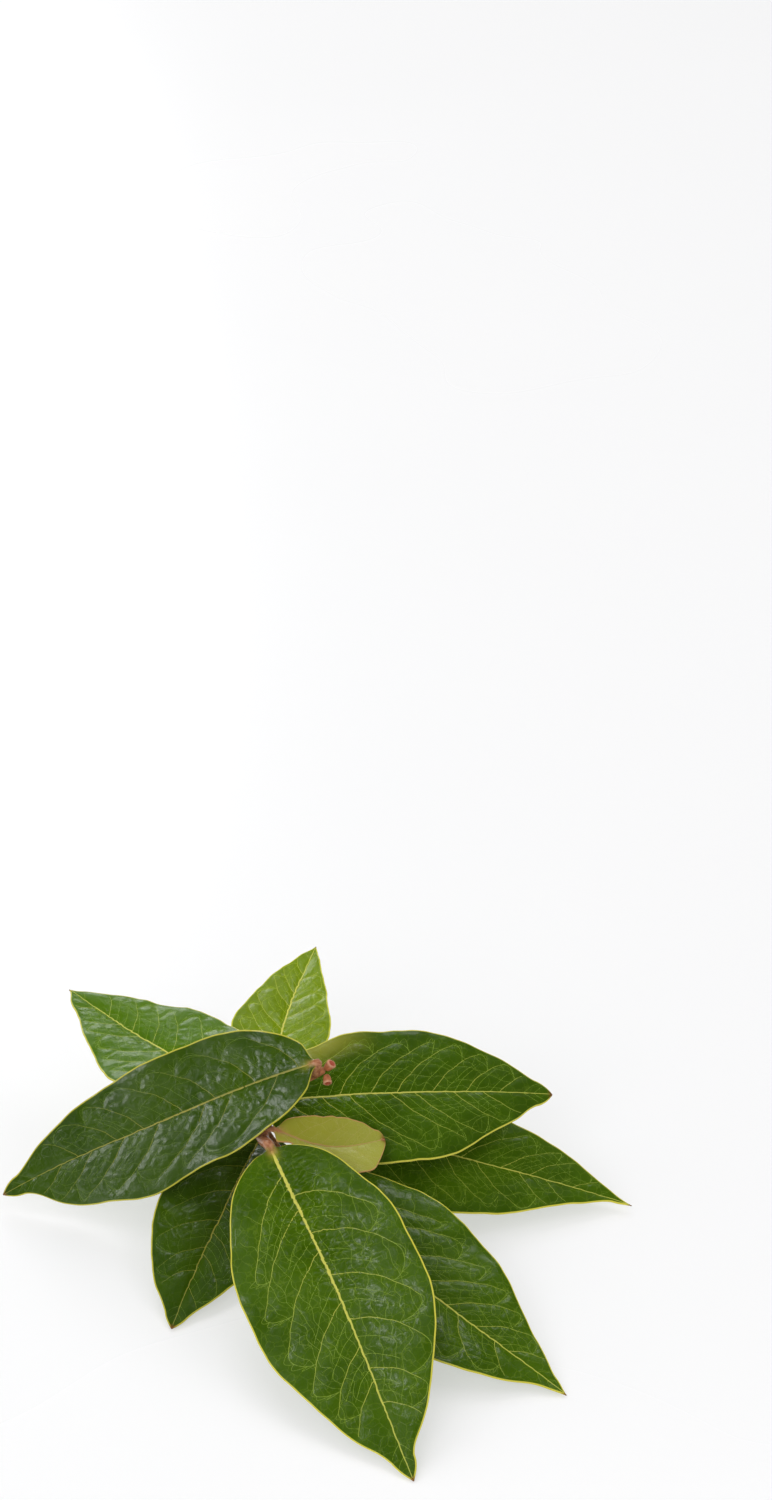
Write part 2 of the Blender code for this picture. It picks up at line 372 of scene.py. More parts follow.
class ShapeWiring(Wiring):
    """Writes one Geometry Nodes tree with named inputs and applies it to objects."""

    SOCKETS = {"size": "NodeSocketFloat", "count": "NodeSocketInt",
               "object": "NodeSocketObject", "material": "NodeSocketMaterial"}

    def __init__(self, name: str) -> None:
        """Start a tree that takes and gives geometry.

        Args:
            name: the tree's name.
        """
        super().__init__(bpy.data.node_groups.new(name, "GeometryNodeTree"))
        face = self.tree.interface
        face.new_socket("Geometry", in_out="INPUT", socket_type="NodeSocketGeometry")
        face.new_socket("Geometry", in_out="OUTPUT", socket_type="NodeSocketGeometry")
        self.start = self.add("NodeGroupInput")
        self.end = self.add("NodeGroupOutput")
        self.keys: dict[str, str] = {}

    def take(self, name: str, kind: str = "size") -> bpy.types.NodeSocket:
        """Add a named input.

        Args:
            name: the input's name.
            kind: one of the kinds in SOCKETS.

        Returns:
            Its socket inside the tree.
        """
        item = self.tree.interface.new_socket(name, in_out="INPUT", socket_type=self.SOCKETS[kind])
        self.keys[name] = item.identifier
        return self.start.outputs[name]

    def number(self, name: str) -> bpy.types.NodeSocket:
        """A number stored on the geometry."""
        return self.add("GeometryNodeInputNamedAttribute", {0: name}, data_type="FLOAT").outputs[0]

    def place(self, name: str) -> bpy.types.NodeSocket:
        """A vector stored on the geometry."""
        return self.add("GeometryNodeInputNamedAttribute", {0: name},
                        data_type="FLOAT_VECTOR").outputs[0]

    def store(self, shape: Feed, name: str, value: Feed,
              kind: str = "FLOAT") -> bpy.types.NodeSocket:
        """Geometry with a value stored on its points."""
        return self.add("GeometryNodeStoreNamedAttribute", {0: shape, 2: name, 3: value},
                        data_type=kind).outputs[0]

    def moved(self, shape: Feed, offset: Feed) -> bpy.types.NodeSocket:
        """Geometry with its points moved by an offset."""
        return self.add("GeometryNodeSetPosition", {0: shape, 3: offset}).outputs[0]

    def joined(self, *shapes: Feed) -> bpy.types.NodeSocket:
        """One geometry from several.

        Args:
            *shapes: the geometries.

        Returns:
            The joined geometry's socket.
        """
        node = self.add("GeometryNodeJoinGeometry")
        for shape in shapes:
            self.tree.links.new(shape, node.inputs[0])
        return node.outputs[0]

    def scatter(self, shape: Feed, chosen: Feed, density: Feed,
                seed: Feed) -> tuple[bpy.types.NodeSocket, bpy.types.NodeSocket]:
        """Random points on a surface.

        Args:
            shape: the surface.
            chosen: selection of its faces.
            density: points on each square metre.
            seed: seed of their places.

        Returns:
            The points and how each is turned to stand on the surface.
        """
        node = self.add("GeometryNodeDistributePointsOnFaces",
                        {0: shape, 1: chosen, "Density": density, "Seed": seed})
        return node.outputs[0], node.outputs[2]

    def dressed(self, shape: Feed, points: Feed, item: Feed, turn: Feed, size: Feed,
                skin: Feed) -> None:
        """End the tree with a shape that has copies of an item on it.

        Args:
            shape: the shape.
            points: where the copies stand.
            item: what is copied.
            turn: rotation of each copy.
            size: scale of each copy.
            skin: material of it all.
        """
        copies = self.add("GeometryNodeInstanceOnPoints",
                          {0: points, 2: item, 5: turn, 6: size}).outputs[0]
        whole = self.joined(copies, shape)
        self.outlet(self.add("GeometryNodeSetShadeSmooth", {0: whole}).outputs[0], (skin, None))

    def outlet(self, shape: Feed, *materials: tuple) -> None:
        """End the tree with real geometry and its materials.

        Args:
            shape: the geometry.
            *materials: pairs of a material and the selection it goes on, None for all.
        """
        shape = self.add("GeometryNodeRealizeInstances", {0: shape}).outputs[0]
        for material, chosen in materials:
            inputs = {0: shape, 2: material}
            if chosen is not None:
                inputs[1] = chosen
            shape = self.add("GeometryNodeSetMaterial", inputs).outputs[0]
        self.tree.links.new(shape, self.end.inputs[0])

    def apply(self, thing: bpy.types.Object, values: dict[str, Feed]) -> bpy.types.Object:
        """Turn an object into the plain mesh that the tree makes of it.

        Args:
            thing: the object, which is used up.
            values: the tree's inputs by name.

        Returns:
            A new object with the finished mesh, at the origin.
        """
        modifier = thing.modifiers.new(self.tree.name, "NODES")
        modifier.node_group = self.tree
        for name, value in values.items():
            modifier[self.keys[name]] = value
        depsgraph = bpy.context.evaluated_depsgraph_get()
        mesh = bpy.data.meshes.new_from_object(thing.evaluated_get(depsgraph),
                                               preserve_all_data_layers=True, depsgraph=depsgraph)
        name = thing.name
        thing.modifiers.clear()
        bpy.data.objects.remove(thing, do_unlink=True)
        mesh.name = name
        return plain_object(name, mesh)


# ---------------------------------------------------------------- finishes
class Tone(Enum):
    """Greens of the sprig's leaves: deep, fresh, vein, rim and underside. The back leaf's bright
    greens are painted light: they stand in for light shining through it from behind.
    """

    GREEN = ("385600", "527400", "98b238", "e0d64a", "647c3e")
    DARK = ("2e4a00", "4a6800", "74902a", "ccc440", "5a7238")
    MILD = ("345000", "4a6e00", "94b034", "dcd450", "6c8644")
    LIGHT = ("466c02", "5e8404", "a0bc40", "d8d256", "769048")
    # Painted light: these brightened greens stand in for light shining through the back leaf from
    # behind.
    BRIGHT = ("6a8400", "82a000", "b8ca22", "dcdc44", "88a03c")
    YOUNG = ("9e9e34", "b0b250", "b8b05c", "c89a5c", "a4a662")


@dataclass(frozen=True)
class LeafFinish:
    """Waxy upper side, matt underside, pale rim and pink-brown stalk of a leaf."""

    name: str
    tone: Tone
    roughness: float = 0.23
    wax: float = 0.16                  # weight of the clear coat
    net: float = 0.15                  # how strongly the finest veins show
    veins: float = 0.04                # how much lighter the blade is beside its veins
    fade: float = 0.0                  # yellowing of the left margin near the stalk
    relief: float = 0.018              # depth of the finest bumps
    stalk: str = "c48c68"
    stalk_dark: str = "9c6040"
    tip: str = "7a4422"

    def build(self) -> bpy.types.Material:
        """Write the blade's material.

        Returns:
            The material.
        """
        w = FinishWiring(self.name)
        deep, fresh, vein, rim, under = (paint(code) for code in self.tone.value)
        flat, edge = w.place("flat"), w.number("edge")
        lower = w.number("lower")
        broad = w.ramp(w.noise(flat, 0.085, 2.0, 0.4), 0.34, 0.68)
        mottle = w.ramp(w.noise(flat, 0.62, 4.0, 0.6), 0.36, 0.70)
        grain = w.noise(flat, 3.2, 3.0)
        drift = w.add("ShaderNodeTexNoise", {"Vector": flat, "Scale": 0.9}).outputs[1]
        wobble = w.scaled(drift, 0.9)
        net = w.ramp(w.cells(w.vector("ADD", flat, wobble), 0.46), 0.0, 0.052, 1.0, 0.0)
        pores = w.ramp(w.cells(flat, 3.4), 0.0, 0.16, 1.0, 0.0)
        green = w.blend(w.times(broad, 0.40), deep, fresh)
        green = w.blend(w.times(mottle, 0.16), green, fresh)
        green = w.blend(w.ramp(grain, 0.45, 0.75, 0.0, 0.60), green, deep)
        green = w.blend(w.times(net, self.net), green, vein)
        green = w.blend(w.times(w.number("near_vein"), self.veins), green, vein)
        along, across = w.number("along"), w.number("across")
        faded = w.times(w.ramp(edge, 1.0, 7.5, self.fade, 0.0), w.ramp(across, 2.0, 9.0),
                        w.ramp(along, 0.06, 0.16), w.ramp(along, 0.24, 0.46, 1.0, 0.0))
        green = w.blend(faded, green, rim)
        back = w.blend(w.times(mottle, 0.5), under, deep)
        back = w.blend(w.times(net, 0.30), back, vein)
        green = w.blend(lower, green, back)
        green = w.blend(w.number("flare"), green, rim)
        green = w.blend(w.ramp(edge, 0.20, 0.38, 0.95, 0.0), green, rim)
        stalk = w.blend(w.ramp(w.noise(flat, 1.4, 4.0), 0.35, 0.68), paint(self.stalk),
                        paint(self.stalk_dark))
        colour = w.blend(w.number("stalk"), green, stalk)
        colour = w.blend(w.number("tip"), colour, paint(self.tip))
        patchy = w.plus(w.times(mottle, 0.06), w.times(w.noise(flat, 0.16, 3.0), 0.12), -0.09)
        gloss = w.times(w.bell(across, 8.0), w.ramp(along, 0.20, 0.60, 0.13, 0.0))
        rough = w.plus(self.roughness, patchy, w.times(lower, 0.26), w.times(gloss, -1.0),
                       w.times(w.number("stalk"), 0.12))
        leather = w.noise(flat, 1.7, 3.0, 0.5)
        height = w.plus(w.times(net, -1.2), w.times(pores, -0.5), w.times(grain, 0.8),
                        w.times(leather, 2.2))
        return w.surface(Base_Color=colour, Roughness=rough, IOR=1.46,
                         Coat_Weight=self.wax, Coat_Roughness=0.12,
                         Normal=w.bump(height, self.relief))


@dataclass(frozen=True)
class RibFinish:
    """Midrib and veins, yellow where thick and greener where fine."""

    name: str
    tone: Tone
    thick: str = "e4dc60"
    stalk: str = "b5714e"
    relief: float = 0.03

    def build(self) -> bpy.types.Material:
        """Write the ribs' material.

        Returns:
            The material.
        """
        w = FinishWiring(self.name)
        _, fresh, vein, _, under = (paint(code) for code in self.tone.value)
        flat, fine = w.place("flat"), w.number("fine")
        thin = w.blend(0.35, vein, fresh)
        colour = w.blend(w.ramp(fine, 0.0, 0.45), paint(self.thick), vein)
        colour = w.blend(w.ramp(fine, 0.45, 1.0), colour, thin)
        colour = w.blend(w.times(w.noise(flat, 0.9, 3.0), 0.30), colour, fresh)
        colour = w.blend(w.times(w.number("lower"), 0.4), colour, under)
        colour = w.blend(w.number("stalk"), colour, paint(self.stalk))
        return w.surface(Base_Color=colour, Roughness=0.42, IOR=1.45,
                         Normal=w.bump(w.noise(flat, 4.0, 3.0), self.relief))


@dataclass(frozen=True)
class BarkFinish:
    """Young brown-green bark with a pale cut end."""

    name: str
    old: str = "7a5838"
    young: str = "9c7a50"
    tip: str = "c07e54"
    wood: str = "d8c490"
    pith: str = "a88a58"
    rind: str = "7b5a36"
    lichen: str = "5d6a34"
    wart: str = "b79a72"
    relief: float = 0.08

    def build(self) -> bpy.types.Material:
        """Write the twig's material.

        Returns:
            The material.
        """
        w = FinishWiring(self.name)
        flat, along = w.place("flat"), w.number("along")
        streaks = w.noise(w.vector("MULTIPLY", flat, (0.35, 2.4, 1.0)), 1.0, 4.0)
        colour = w.blend(w.ramp(streaks, 0.32, 0.70), paint(self.old), paint(self.young))
        colour = w.blend(w.times(w.ramp(w.noise(flat, 0.5, 3.0), 0.5, 0.7), 0.5), colour,
                         paint(self.lichen))
        colour = w.blend(w.ramp(along, 0.58, 0.90), colour, paint(self.tip))
        colour = w.blend(w.number("wart"), colour, paint(self.wart))
        ring = w.number("cut")
        wood = w.blend(w.ramp(ring, 0.72, 0.95), paint(self.wood), paint(self.rind))
        wood = w.blend(w.ramp(ring, 0.10, 0.26, 1.0, 0.0), wood, paint(self.pith))
        colour = w.blend(w.number("end"), colour, wood)
        height = w.plus(streaks, w.times(w.noise(flat, 3.0, 3.0), 0.5))
        return w.surface(Base_Color=colour, Roughness=0.62, IOR=1.45,
                         Normal=w.bump(height, self.relief))


@dataclass(frozen=True)
class BudFinish:
    """Salmon bud with pale hairs on its rim and a reddish end."""

    name: str
    skin: str = "c67c50"
    shade: str = "a25c3a"
    rim: str = "dca482"
    heart: str = "b04e38"
    relief: float = 0.07

    def build(self) -> bpy.types.Material:
        """Write the bud's material.

        Returns:
            The material.
        """
        w = FinishWiring(self.name)
        flat = w.place("flat")
        colour = w.blend(w.ramp(w.noise(flat, 1.3, 4.0), 0.35, 0.68), paint(self.skin),
                         paint(self.shade))
        colour = w.blend(w.number("rim"), colour, paint(self.rim))
        colour = w.blend(w.number("heart"), colour, paint(self.heart))
        return w.surface(Base_Color=colour, Roughness=0.55, IOR=1.45,
                         Normal=w.bump(w.noise(flat, 5.0, 4.0), self.relief))


@dataclass(frozen=True)
class FloorFinish:
    """Smooth pale studio floor with a faint reflection."""

    name: str = "studio_floor"
    colour: str = "b4b4b5"
    glow: float = 0.50

    def build(self) -> bpy.types.Material:
        """Write the floor's material.

        Returns:
            The material.
        """
        w = FinishWiring(self.name)
        spot = w.add("ShaderNodeTexCoord").outputs["Object"]
        cloud = w.noise(spot, 3.0, 3.0)
        return w.surface(Base_Color=w.blend(w.times(cloud, 0.04), paint(self.colour),
                                            paint("ffffff")),
                         Roughness=w.plus(0.24, w.times(cloud, 0.06)), IOR=1.45,
                         Emission_Color=(1.0, 1.0, 1.0, 1.0), Emission_Strength=self.glow)


# ---------------------------------------------------------------- leaves
@dataclass(frozen=True)
class LeafForm:
    """One leaf's midrib in space, the outline of its blade and where its stalk starts."""

    base: tuple[float, float, float]   # foot of the blade on the midrib
    length: float                      # along the midrib
    width: float                       # overall, before the corrections
    heading: float                     # direction in plan at the foot
    turn: float                        # change of heading from foot to tip
    sway: float                        # S-shaped swing of the heading
    rise: float                        # slope at the foot
    droop: float                       # fall of the slope from foot to tip
    roll: float                        # turn of the blade about its midrib at the foot
    twist: float                       # change of roll from foot to tip
    fold: float                        # how steeply each half rises from the midrib
    wave: float                        # height of the waves along the margin
    waves: float                       # their number
    widest: float                      # share of the length at which it is widest
    blunt: float                       # how blunt its foot is
    left: tuple[float, ...]            # corrections to the half width at the stations
    right: tuple[float, ...]
    node: float                        # share of the twig's length where the stalk starts
    stalk: float                       # radius of the stalk
    arch: float = 0.45                 # how far each half of the blade bulges
    crinkle: float = 0.06              # fine undulation of the margin
    neck: float = 2.8                  # run in which the round stalk opens into the blade
    seed: int = 1

    STATIONS = (0.2, 0.4, 0.6, 0.8, 0.92)  # where left and right correct the half width
    SPREAD = (0.1, 0.1, 0.1, 0.1, 0.05)    # reach of each correction
    TIP = 0.12                         # least half width
    FULL = 0.50                        # thickness beside the midrib
    RIM = 0.30                         # thickness near the margin
    RIDGE = 0.75                       # height of the midrib on the underside
    RIDGE_HALF = 1.0                   # its half width
    STEPS = 480                        # steps in which the midrib's course is summed

    def forward(self, share: np.ndarray) -> np.ndarray:
        """Direction of the midrib.

        Args:
            share: places along the blade.

        Returns:
            Vectors of length one, with one more axis than share.
        """
        wander = self.sway * np.sin(2 * np.pi * share)
        heading = np.radians(self.heading + self.turn * share + wander)
        slope = np.radians(self.rise - self.droop * share)
        return np.stack((np.cos(slope) * np.cos(heading), np.cos(slope) * np.sin(heading),
                         np.sin(slope)), -1)

    def midrib(self, share: np.ndarray) -> tuple[np.ndarray, ...]:
        """The midrib's course.

        Args:
            share: places along the blade, in any shape.

        Returns:
            Points and forward, left and up directions, with one more axis than share.
        """
        count = self.STEPS
        steps = (np.arange(count) + 0.5) / count
        path = np.vstack((np.zeros(3), np.cumsum(self.forward(steps), 0) * self.length / count))
        table = np.linspace(0, 1, count + 1)
        point = np.stack([np.interp(share, table, path[:, i]) for i in range(3)], -1)
        ahead = self.forward(np.asarray(share, float))
        heading = np.arctan2(ahead[..., 1], ahead[..., 0])
        level = np.stack((-np.sin(heading), np.cos(heading), np.zeros_like(heading)), -1)
        upright = np.cross(ahead, level)
        roll = np.radians(self.roll + self.twist * share)[..., None]
        left = level * np.cos(roll) + upright * np.sin(roll)
        return point + np.array(self.base), ahead, left, np.cross(ahead, left)

    def half_width(self, share: np.ndarray, side: np.ndarray) -> np.ndarray:
        """Distance from midrib to margin.

        Args:
            share: places along the blade.
            side: +1 for the left half and -1 for the right half.

        Returns:
            The distances.
        """
        s = np.clip(share, 1e-6, 1 - 1e-6)
        taper = self.blunt * (1 - self.widest) / self.widest
        width = self.width / 2 * (s / self.widest)**self.blunt
        width = width * ((1 - s) / (1 - self.widest))**taper
        window = np.minimum(np.minimum(s / 0.1, (1 - s) / 0.06), 1.0)
        for i, (station, spread) in enumerate(zip(self.STATIONS, self.SPREAD)):
            offset = np.where(side > 0, self.left[i], self.right[i])
            width = width + offset * window * np.exp(-((s - station) / spread)**2)
        nick = np.sin(2 * np.pi * 9.3 * s + self.seed + 2 * side)
        nick = nick + 0.7 * np.sin(2 * np.pi * 17.0 * s + 3 * self.seed - side)
        width = width + self.crinkle * 0.5 * window * nick
        width = np.hypot(np.maximum(width, 0.0), self.TIP)
        return np.maximum(width, self.stalk * (1 - smooth(s * self.length / self.neck)))

    def sheet(self, share: np.ndarray, v: np.ndarray, lift: np.ndarray) -> np.ndarray:
        """Points of the blade.

        Args:
            share: places along it.
            v: places across it, from -1 at the right margin to 1 at the left one.
            lift: height above the middle of the blade's thickness.

        Returns:
            Points in millimetres in the layout.
        """
        side = np.where(v >= 0, 1.0, -1.0)
        point, _, left, up = self.midrib(share)
        width = self.half_width(share, side)
        lean, out = math.radians(self.fold), np.abs(v)
        ripple = self.wave * v**2 * np.sin(2 * np.pi * self.waves * share + side)
        ripple = ripple + self.crinkle * 1.6 * out**5 * (
            np.sin(2 * np.pi * 6.1 * share + 2 * self.seed + side)
            + 0.6 * np.sin(2 * np.pi * 11.7 * share - self.seed * side))
        ripple = ripple + self.arch * 4 * out * (1 - out) * np.minimum(width / 10, 1.0)
        rise = out * width * math.sin(lean) + ripple * smooth(4 * (1 - share)) * smooth(8 * share)
        return (point + left * (v * width * math.cos(lean))[..., None]
                + up * (rise + lift)[..., None])


class Order(Enum):
    """Kinds of veins: radius where one starts, radius where it ends, and place in the order."""

    MAIN = (0.120, 0.066, 0.30)
    LOOP = (0.072, 0.062, 0.50)
    THIN = (0.072, 0.045, 0.62)
    POINT = (0.065, 0.045, 0.75)
    ARCH = (0.055, 0.048, 0.78)
    CROSS = (0.050, 0.045, 0.80)
    FOOT = (0.060, 0.045, 0.85)
    SPUR = (0.045, 0.038, 0.95)


@dataclass
class Vein:
    """One vein on the flat blade: its points, radius at both ends and place in the order."""

    points: np.ndarray
    thick: float
    thin: float
    fine: float


@dataclass
class VeinPlan:
    """Net of veins on a flat blade: pairs that arch forward, loops near the margin, cross-veins."""

    form: LeafForm
    pairs: int = 7
    open_left: float = 48.0            # angle of the left veins from the midrib, at mid-length
    open_right: float = 58.0
    step: float = 0.5

    TAPER = 0.03                       # how much thinner the last main vein starts

    def __post_init__(self) -> None:
        """Seed the plan."""
        self.dice = np.random.default_rng(self.form.seed * 101)

    def half(self, x: float, side: int) -> float:
        """Distance from midrib to margin at a place along the flat blade."""
        return float(self.form.half_width(np.array(x / self.form.length), np.array(side)))

    def march(self, x: float, angle: float, side: int, reach: float, bend: float) -> np.ndarray:
        """Path of a vein from the midrib outwards.

        Args:
            x: where it leaves the midrib.
            angle: its angle from the midrib.
            side: +1 left, -1 right.
            reach: share of the half width at which it ends.
            bend: share of the angle lost on the way.

        Returns:
            Points with y counted outwards.
        """
        points, y, sway = [(x, 0.0)], 0.0, self.dice.uniform(0, 6.28)
        while len(points) < 200:
            ratio = y / self.half(x, side)
            if ratio >= reach or x > 0.965 * self.form.length:
                break
            turn = angle * (1 - bend * float(smooth(ratio / reach)))
            turn += 5.0 * math.sin(0.55 * len(points) + sway)
            x += self.step * math.cos(math.radians(turn))
            y += self.step * math.sin(math.radians(turn))
            points.append((x, y))
        return np.array(points)

    def cross(self, start: np.ndarray, end: np.ndarray, bulge: float) -> np.ndarray:
        """A wandering vein between two points.

        Args:
            start: first point.
            end: last point.
            bulge: how far it bows to its left.

        Returns:
            Its points.
        """
        gap = end - start
        length = max(float(np.linalg.norm(gap)), 0.4)
        aside = np.array((-gap[1], gap[0])) / length
        count = max(3, round(length / 1.7))
        knots = [start]
        for i in range(1, count):
            u = i / count
            kink = bulge * 4 * u * (1 - u) + self.dice.normal(0, 0.085) * min(length, 6)
            knots.append(start + gap * u + aside * kink)
        knots.append(end)
        fine = max(4, round(length / 0.4))
        return spline(tuple(map(tuple, knots)), np.linspace(0, 1, fine))

    def side_veins(self, side: int) -> list[Vein]:
        """All the veins of one half of the blade.

        Args:
            side: +1 left, -1 right.

        Returns:
            The veins, with y counted outwards.
        """
        dice, length, veins = self.dice, self.form.length, []
        opening = self.open_left if side > 0 else self.open_right
        offset = 0.25 if side > 0 else -0.25
        mains = []
        for i in range(self.pairs):
            turn = (i + 0.5 + offset + dice.uniform(-0.16, 0.16)) / self.pairs
            share = 0.035 + 0.80 * turn**0.96
            angle = opening + 10 - 22 * share + dice.uniform(-4, 4)
            path = self.march(share * length, angle, side, dice.uniform(0.74, 0.84), 0.50)
            mains.append(path)
            thick, thin, fine = Order.MAIN.value
            veins.append(Vein(path, thick - self.TAPER * share, thin, fine))
        for near, ahead in zip(mains, mains[1:]):
            self.loops(side, near, ahead, veins)
            self.between(side, near, ahead, veins)
        self.rim_net(side, mains[0], mains[-1], veins)
        return veins

    def loops(self, side: int, near: np.ndarray, ahead: np.ndarray, veins: list[Vein]) -> None:
        """Arch from a main vein's end to the next one, with small arches outside it.

        Args:
            side: +1 left, -1 right.
            near: the main vein nearer the stalk.
            ahead: the next one.
            veins: the list to add to.
        """
        start, landing = near[-1], ahead[int(len(ahead) * self.dice.uniform(0.60, 0.74))]
        span = float(np.linalg.norm(landing - start))
        course = unit(near[-1] - near[-4])
        inward = np.array((0.25, 1.0)) / 1.03
        handles = (start, start + course * span * 0.55, landing + inward * span * 0.28, landing)
        arch = bezier(handles, np.linspace(0, 1, max(6, round(span / self.step))))
        veins.append(Vein(arch, *Order.LOOP.value))
        cuts = (0, len(arch) // 3, 2 * len(arch) // 3, len(arch) - 2)
        for a, b in zip(cuts, cuts[1:]):
            middle = (arch[a] + arch[b]) / 2
            room = 0.91 * self.half(middle[0], side) - middle[1]
            if room > 0.5 and b > a + 1:
                top = middle + np.array((0.35, 1.0)) * min(room, 2.8)
                bow = (arch[a], arch[a] * 0.25 + top * 0.75, arch[b] * 0.1 + top * 0.9, arch[b])
                veins.append(Vein(bezier(bow, np.linspace(0, 1, 10)), *Order.ARCH.value))

    def between(self, side: int, near: np.ndarray, ahead: np.ndarray, veins: list[Vein]) -> None:
        """Thin veins from the midrib and cross-veins in one panel.

        Args:
            side: +1 left, -1 right.
            near: the main vein nearer the stalk.
            ahead: the next one.
            veins: the list to add to.
        """
        dice = self.dice
        gap = ahead[0, 0] - near[0, 0]
        slope = math.degrees(math.atan2(*(near[min(6, len(near) - 1)] - near[0])[::-1]))
        for share in (0.36, 0.70) if gap > 6 else (0.52,):
            start = near[0, 0] + gap * (share + dice.uniform(-0.07, 0.07))
            angle = slope + dice.uniform(-3, 6)
            path = self.march(start, angle, side, dice.uniform(0.34, 0.62), 0.35)
            veins.append(Vein(path, *Order.THIN.value))
        place = dice.uniform(1.5, 3.0)
        while place < (len(near) - 2) * self.step:
            i = int(place / self.step)
            j = min(int(i * len(ahead) / len(near) * dice.uniform(0.80, 1.0)), len(ahead) - 2)
            path = self.cross(near[i], ahead[max(j, 1)], dice.uniform(-0.5, 0.5))
            veins.append(Vein(path, *Order.CROSS.value))
            if len(path) > 8:
                k = int(len(path) * dice.uniform(0.3, 0.7))
                aim = path[k] + np.array((dice.uniform(-0.3, 0.9), dice.uniform(1.1, 2.4)))
                veins.append(Vein(self.cross(path[k], aim, 0.0), *Order.SPUR.value))
            place += dice.uniform(2.2, 4.2)

    def rim_net(self, side: int, first: np.ndarray, last: np.ndarray, veins: list[Vein]) -> None:
        """Veins at the foot and the point of the blade, outside the main ones.

        Args:
            side: +1 left, -1 right.
            first: the main vein nearest the stalk.
            last: the one nearest the tip; not used.
            veins: the list to add to.
        """
        for share in (0.25, 0.5, 0.75):
            spot = first[int(share * (len(first) - 1))]
            x = max(spot[0] - 2.2 - 2 * share, 0.02 * self.form.length)
            reach = min(0.86 * self.half(x, side), spot[1] + 2.5)
            path = self.cross(spot, np.array((x, reach)), 0.3)
            veins.append(Vein(path, *Order.FOOT.value))
        for share in (0.90, 0.935):
            path = self.march(share * self.form.length, 42, side, 0.75, 0.4)
            if len(path) > 2:
                veins.append(Vein(path, *Order.POINT.value))

    def lay_out(self) -> list[Vein]:
        """Lay out every vein but the midrib.

        Returns:
            The veins, in flat coordinates.
        """
        veins = []
        for side in (1, -1):
            for vein in self.side_veins(side):
                y = np.clip(vein.points[:, 1], 0.0, None)
                x = np.clip(vein.points[:, 0], 0.3, 0.985 * self.form.length)
                limit = self.form.half_width(x / self.form.length, np.full(len(x), side)) - 0.5
                keep = y <= np.maximum(limit, 0.05)
                if keep.sum() > 3:
                    vein.points = np.stack((x, side * y), -1)[keep]
                    veins.append(vein)
        return veins


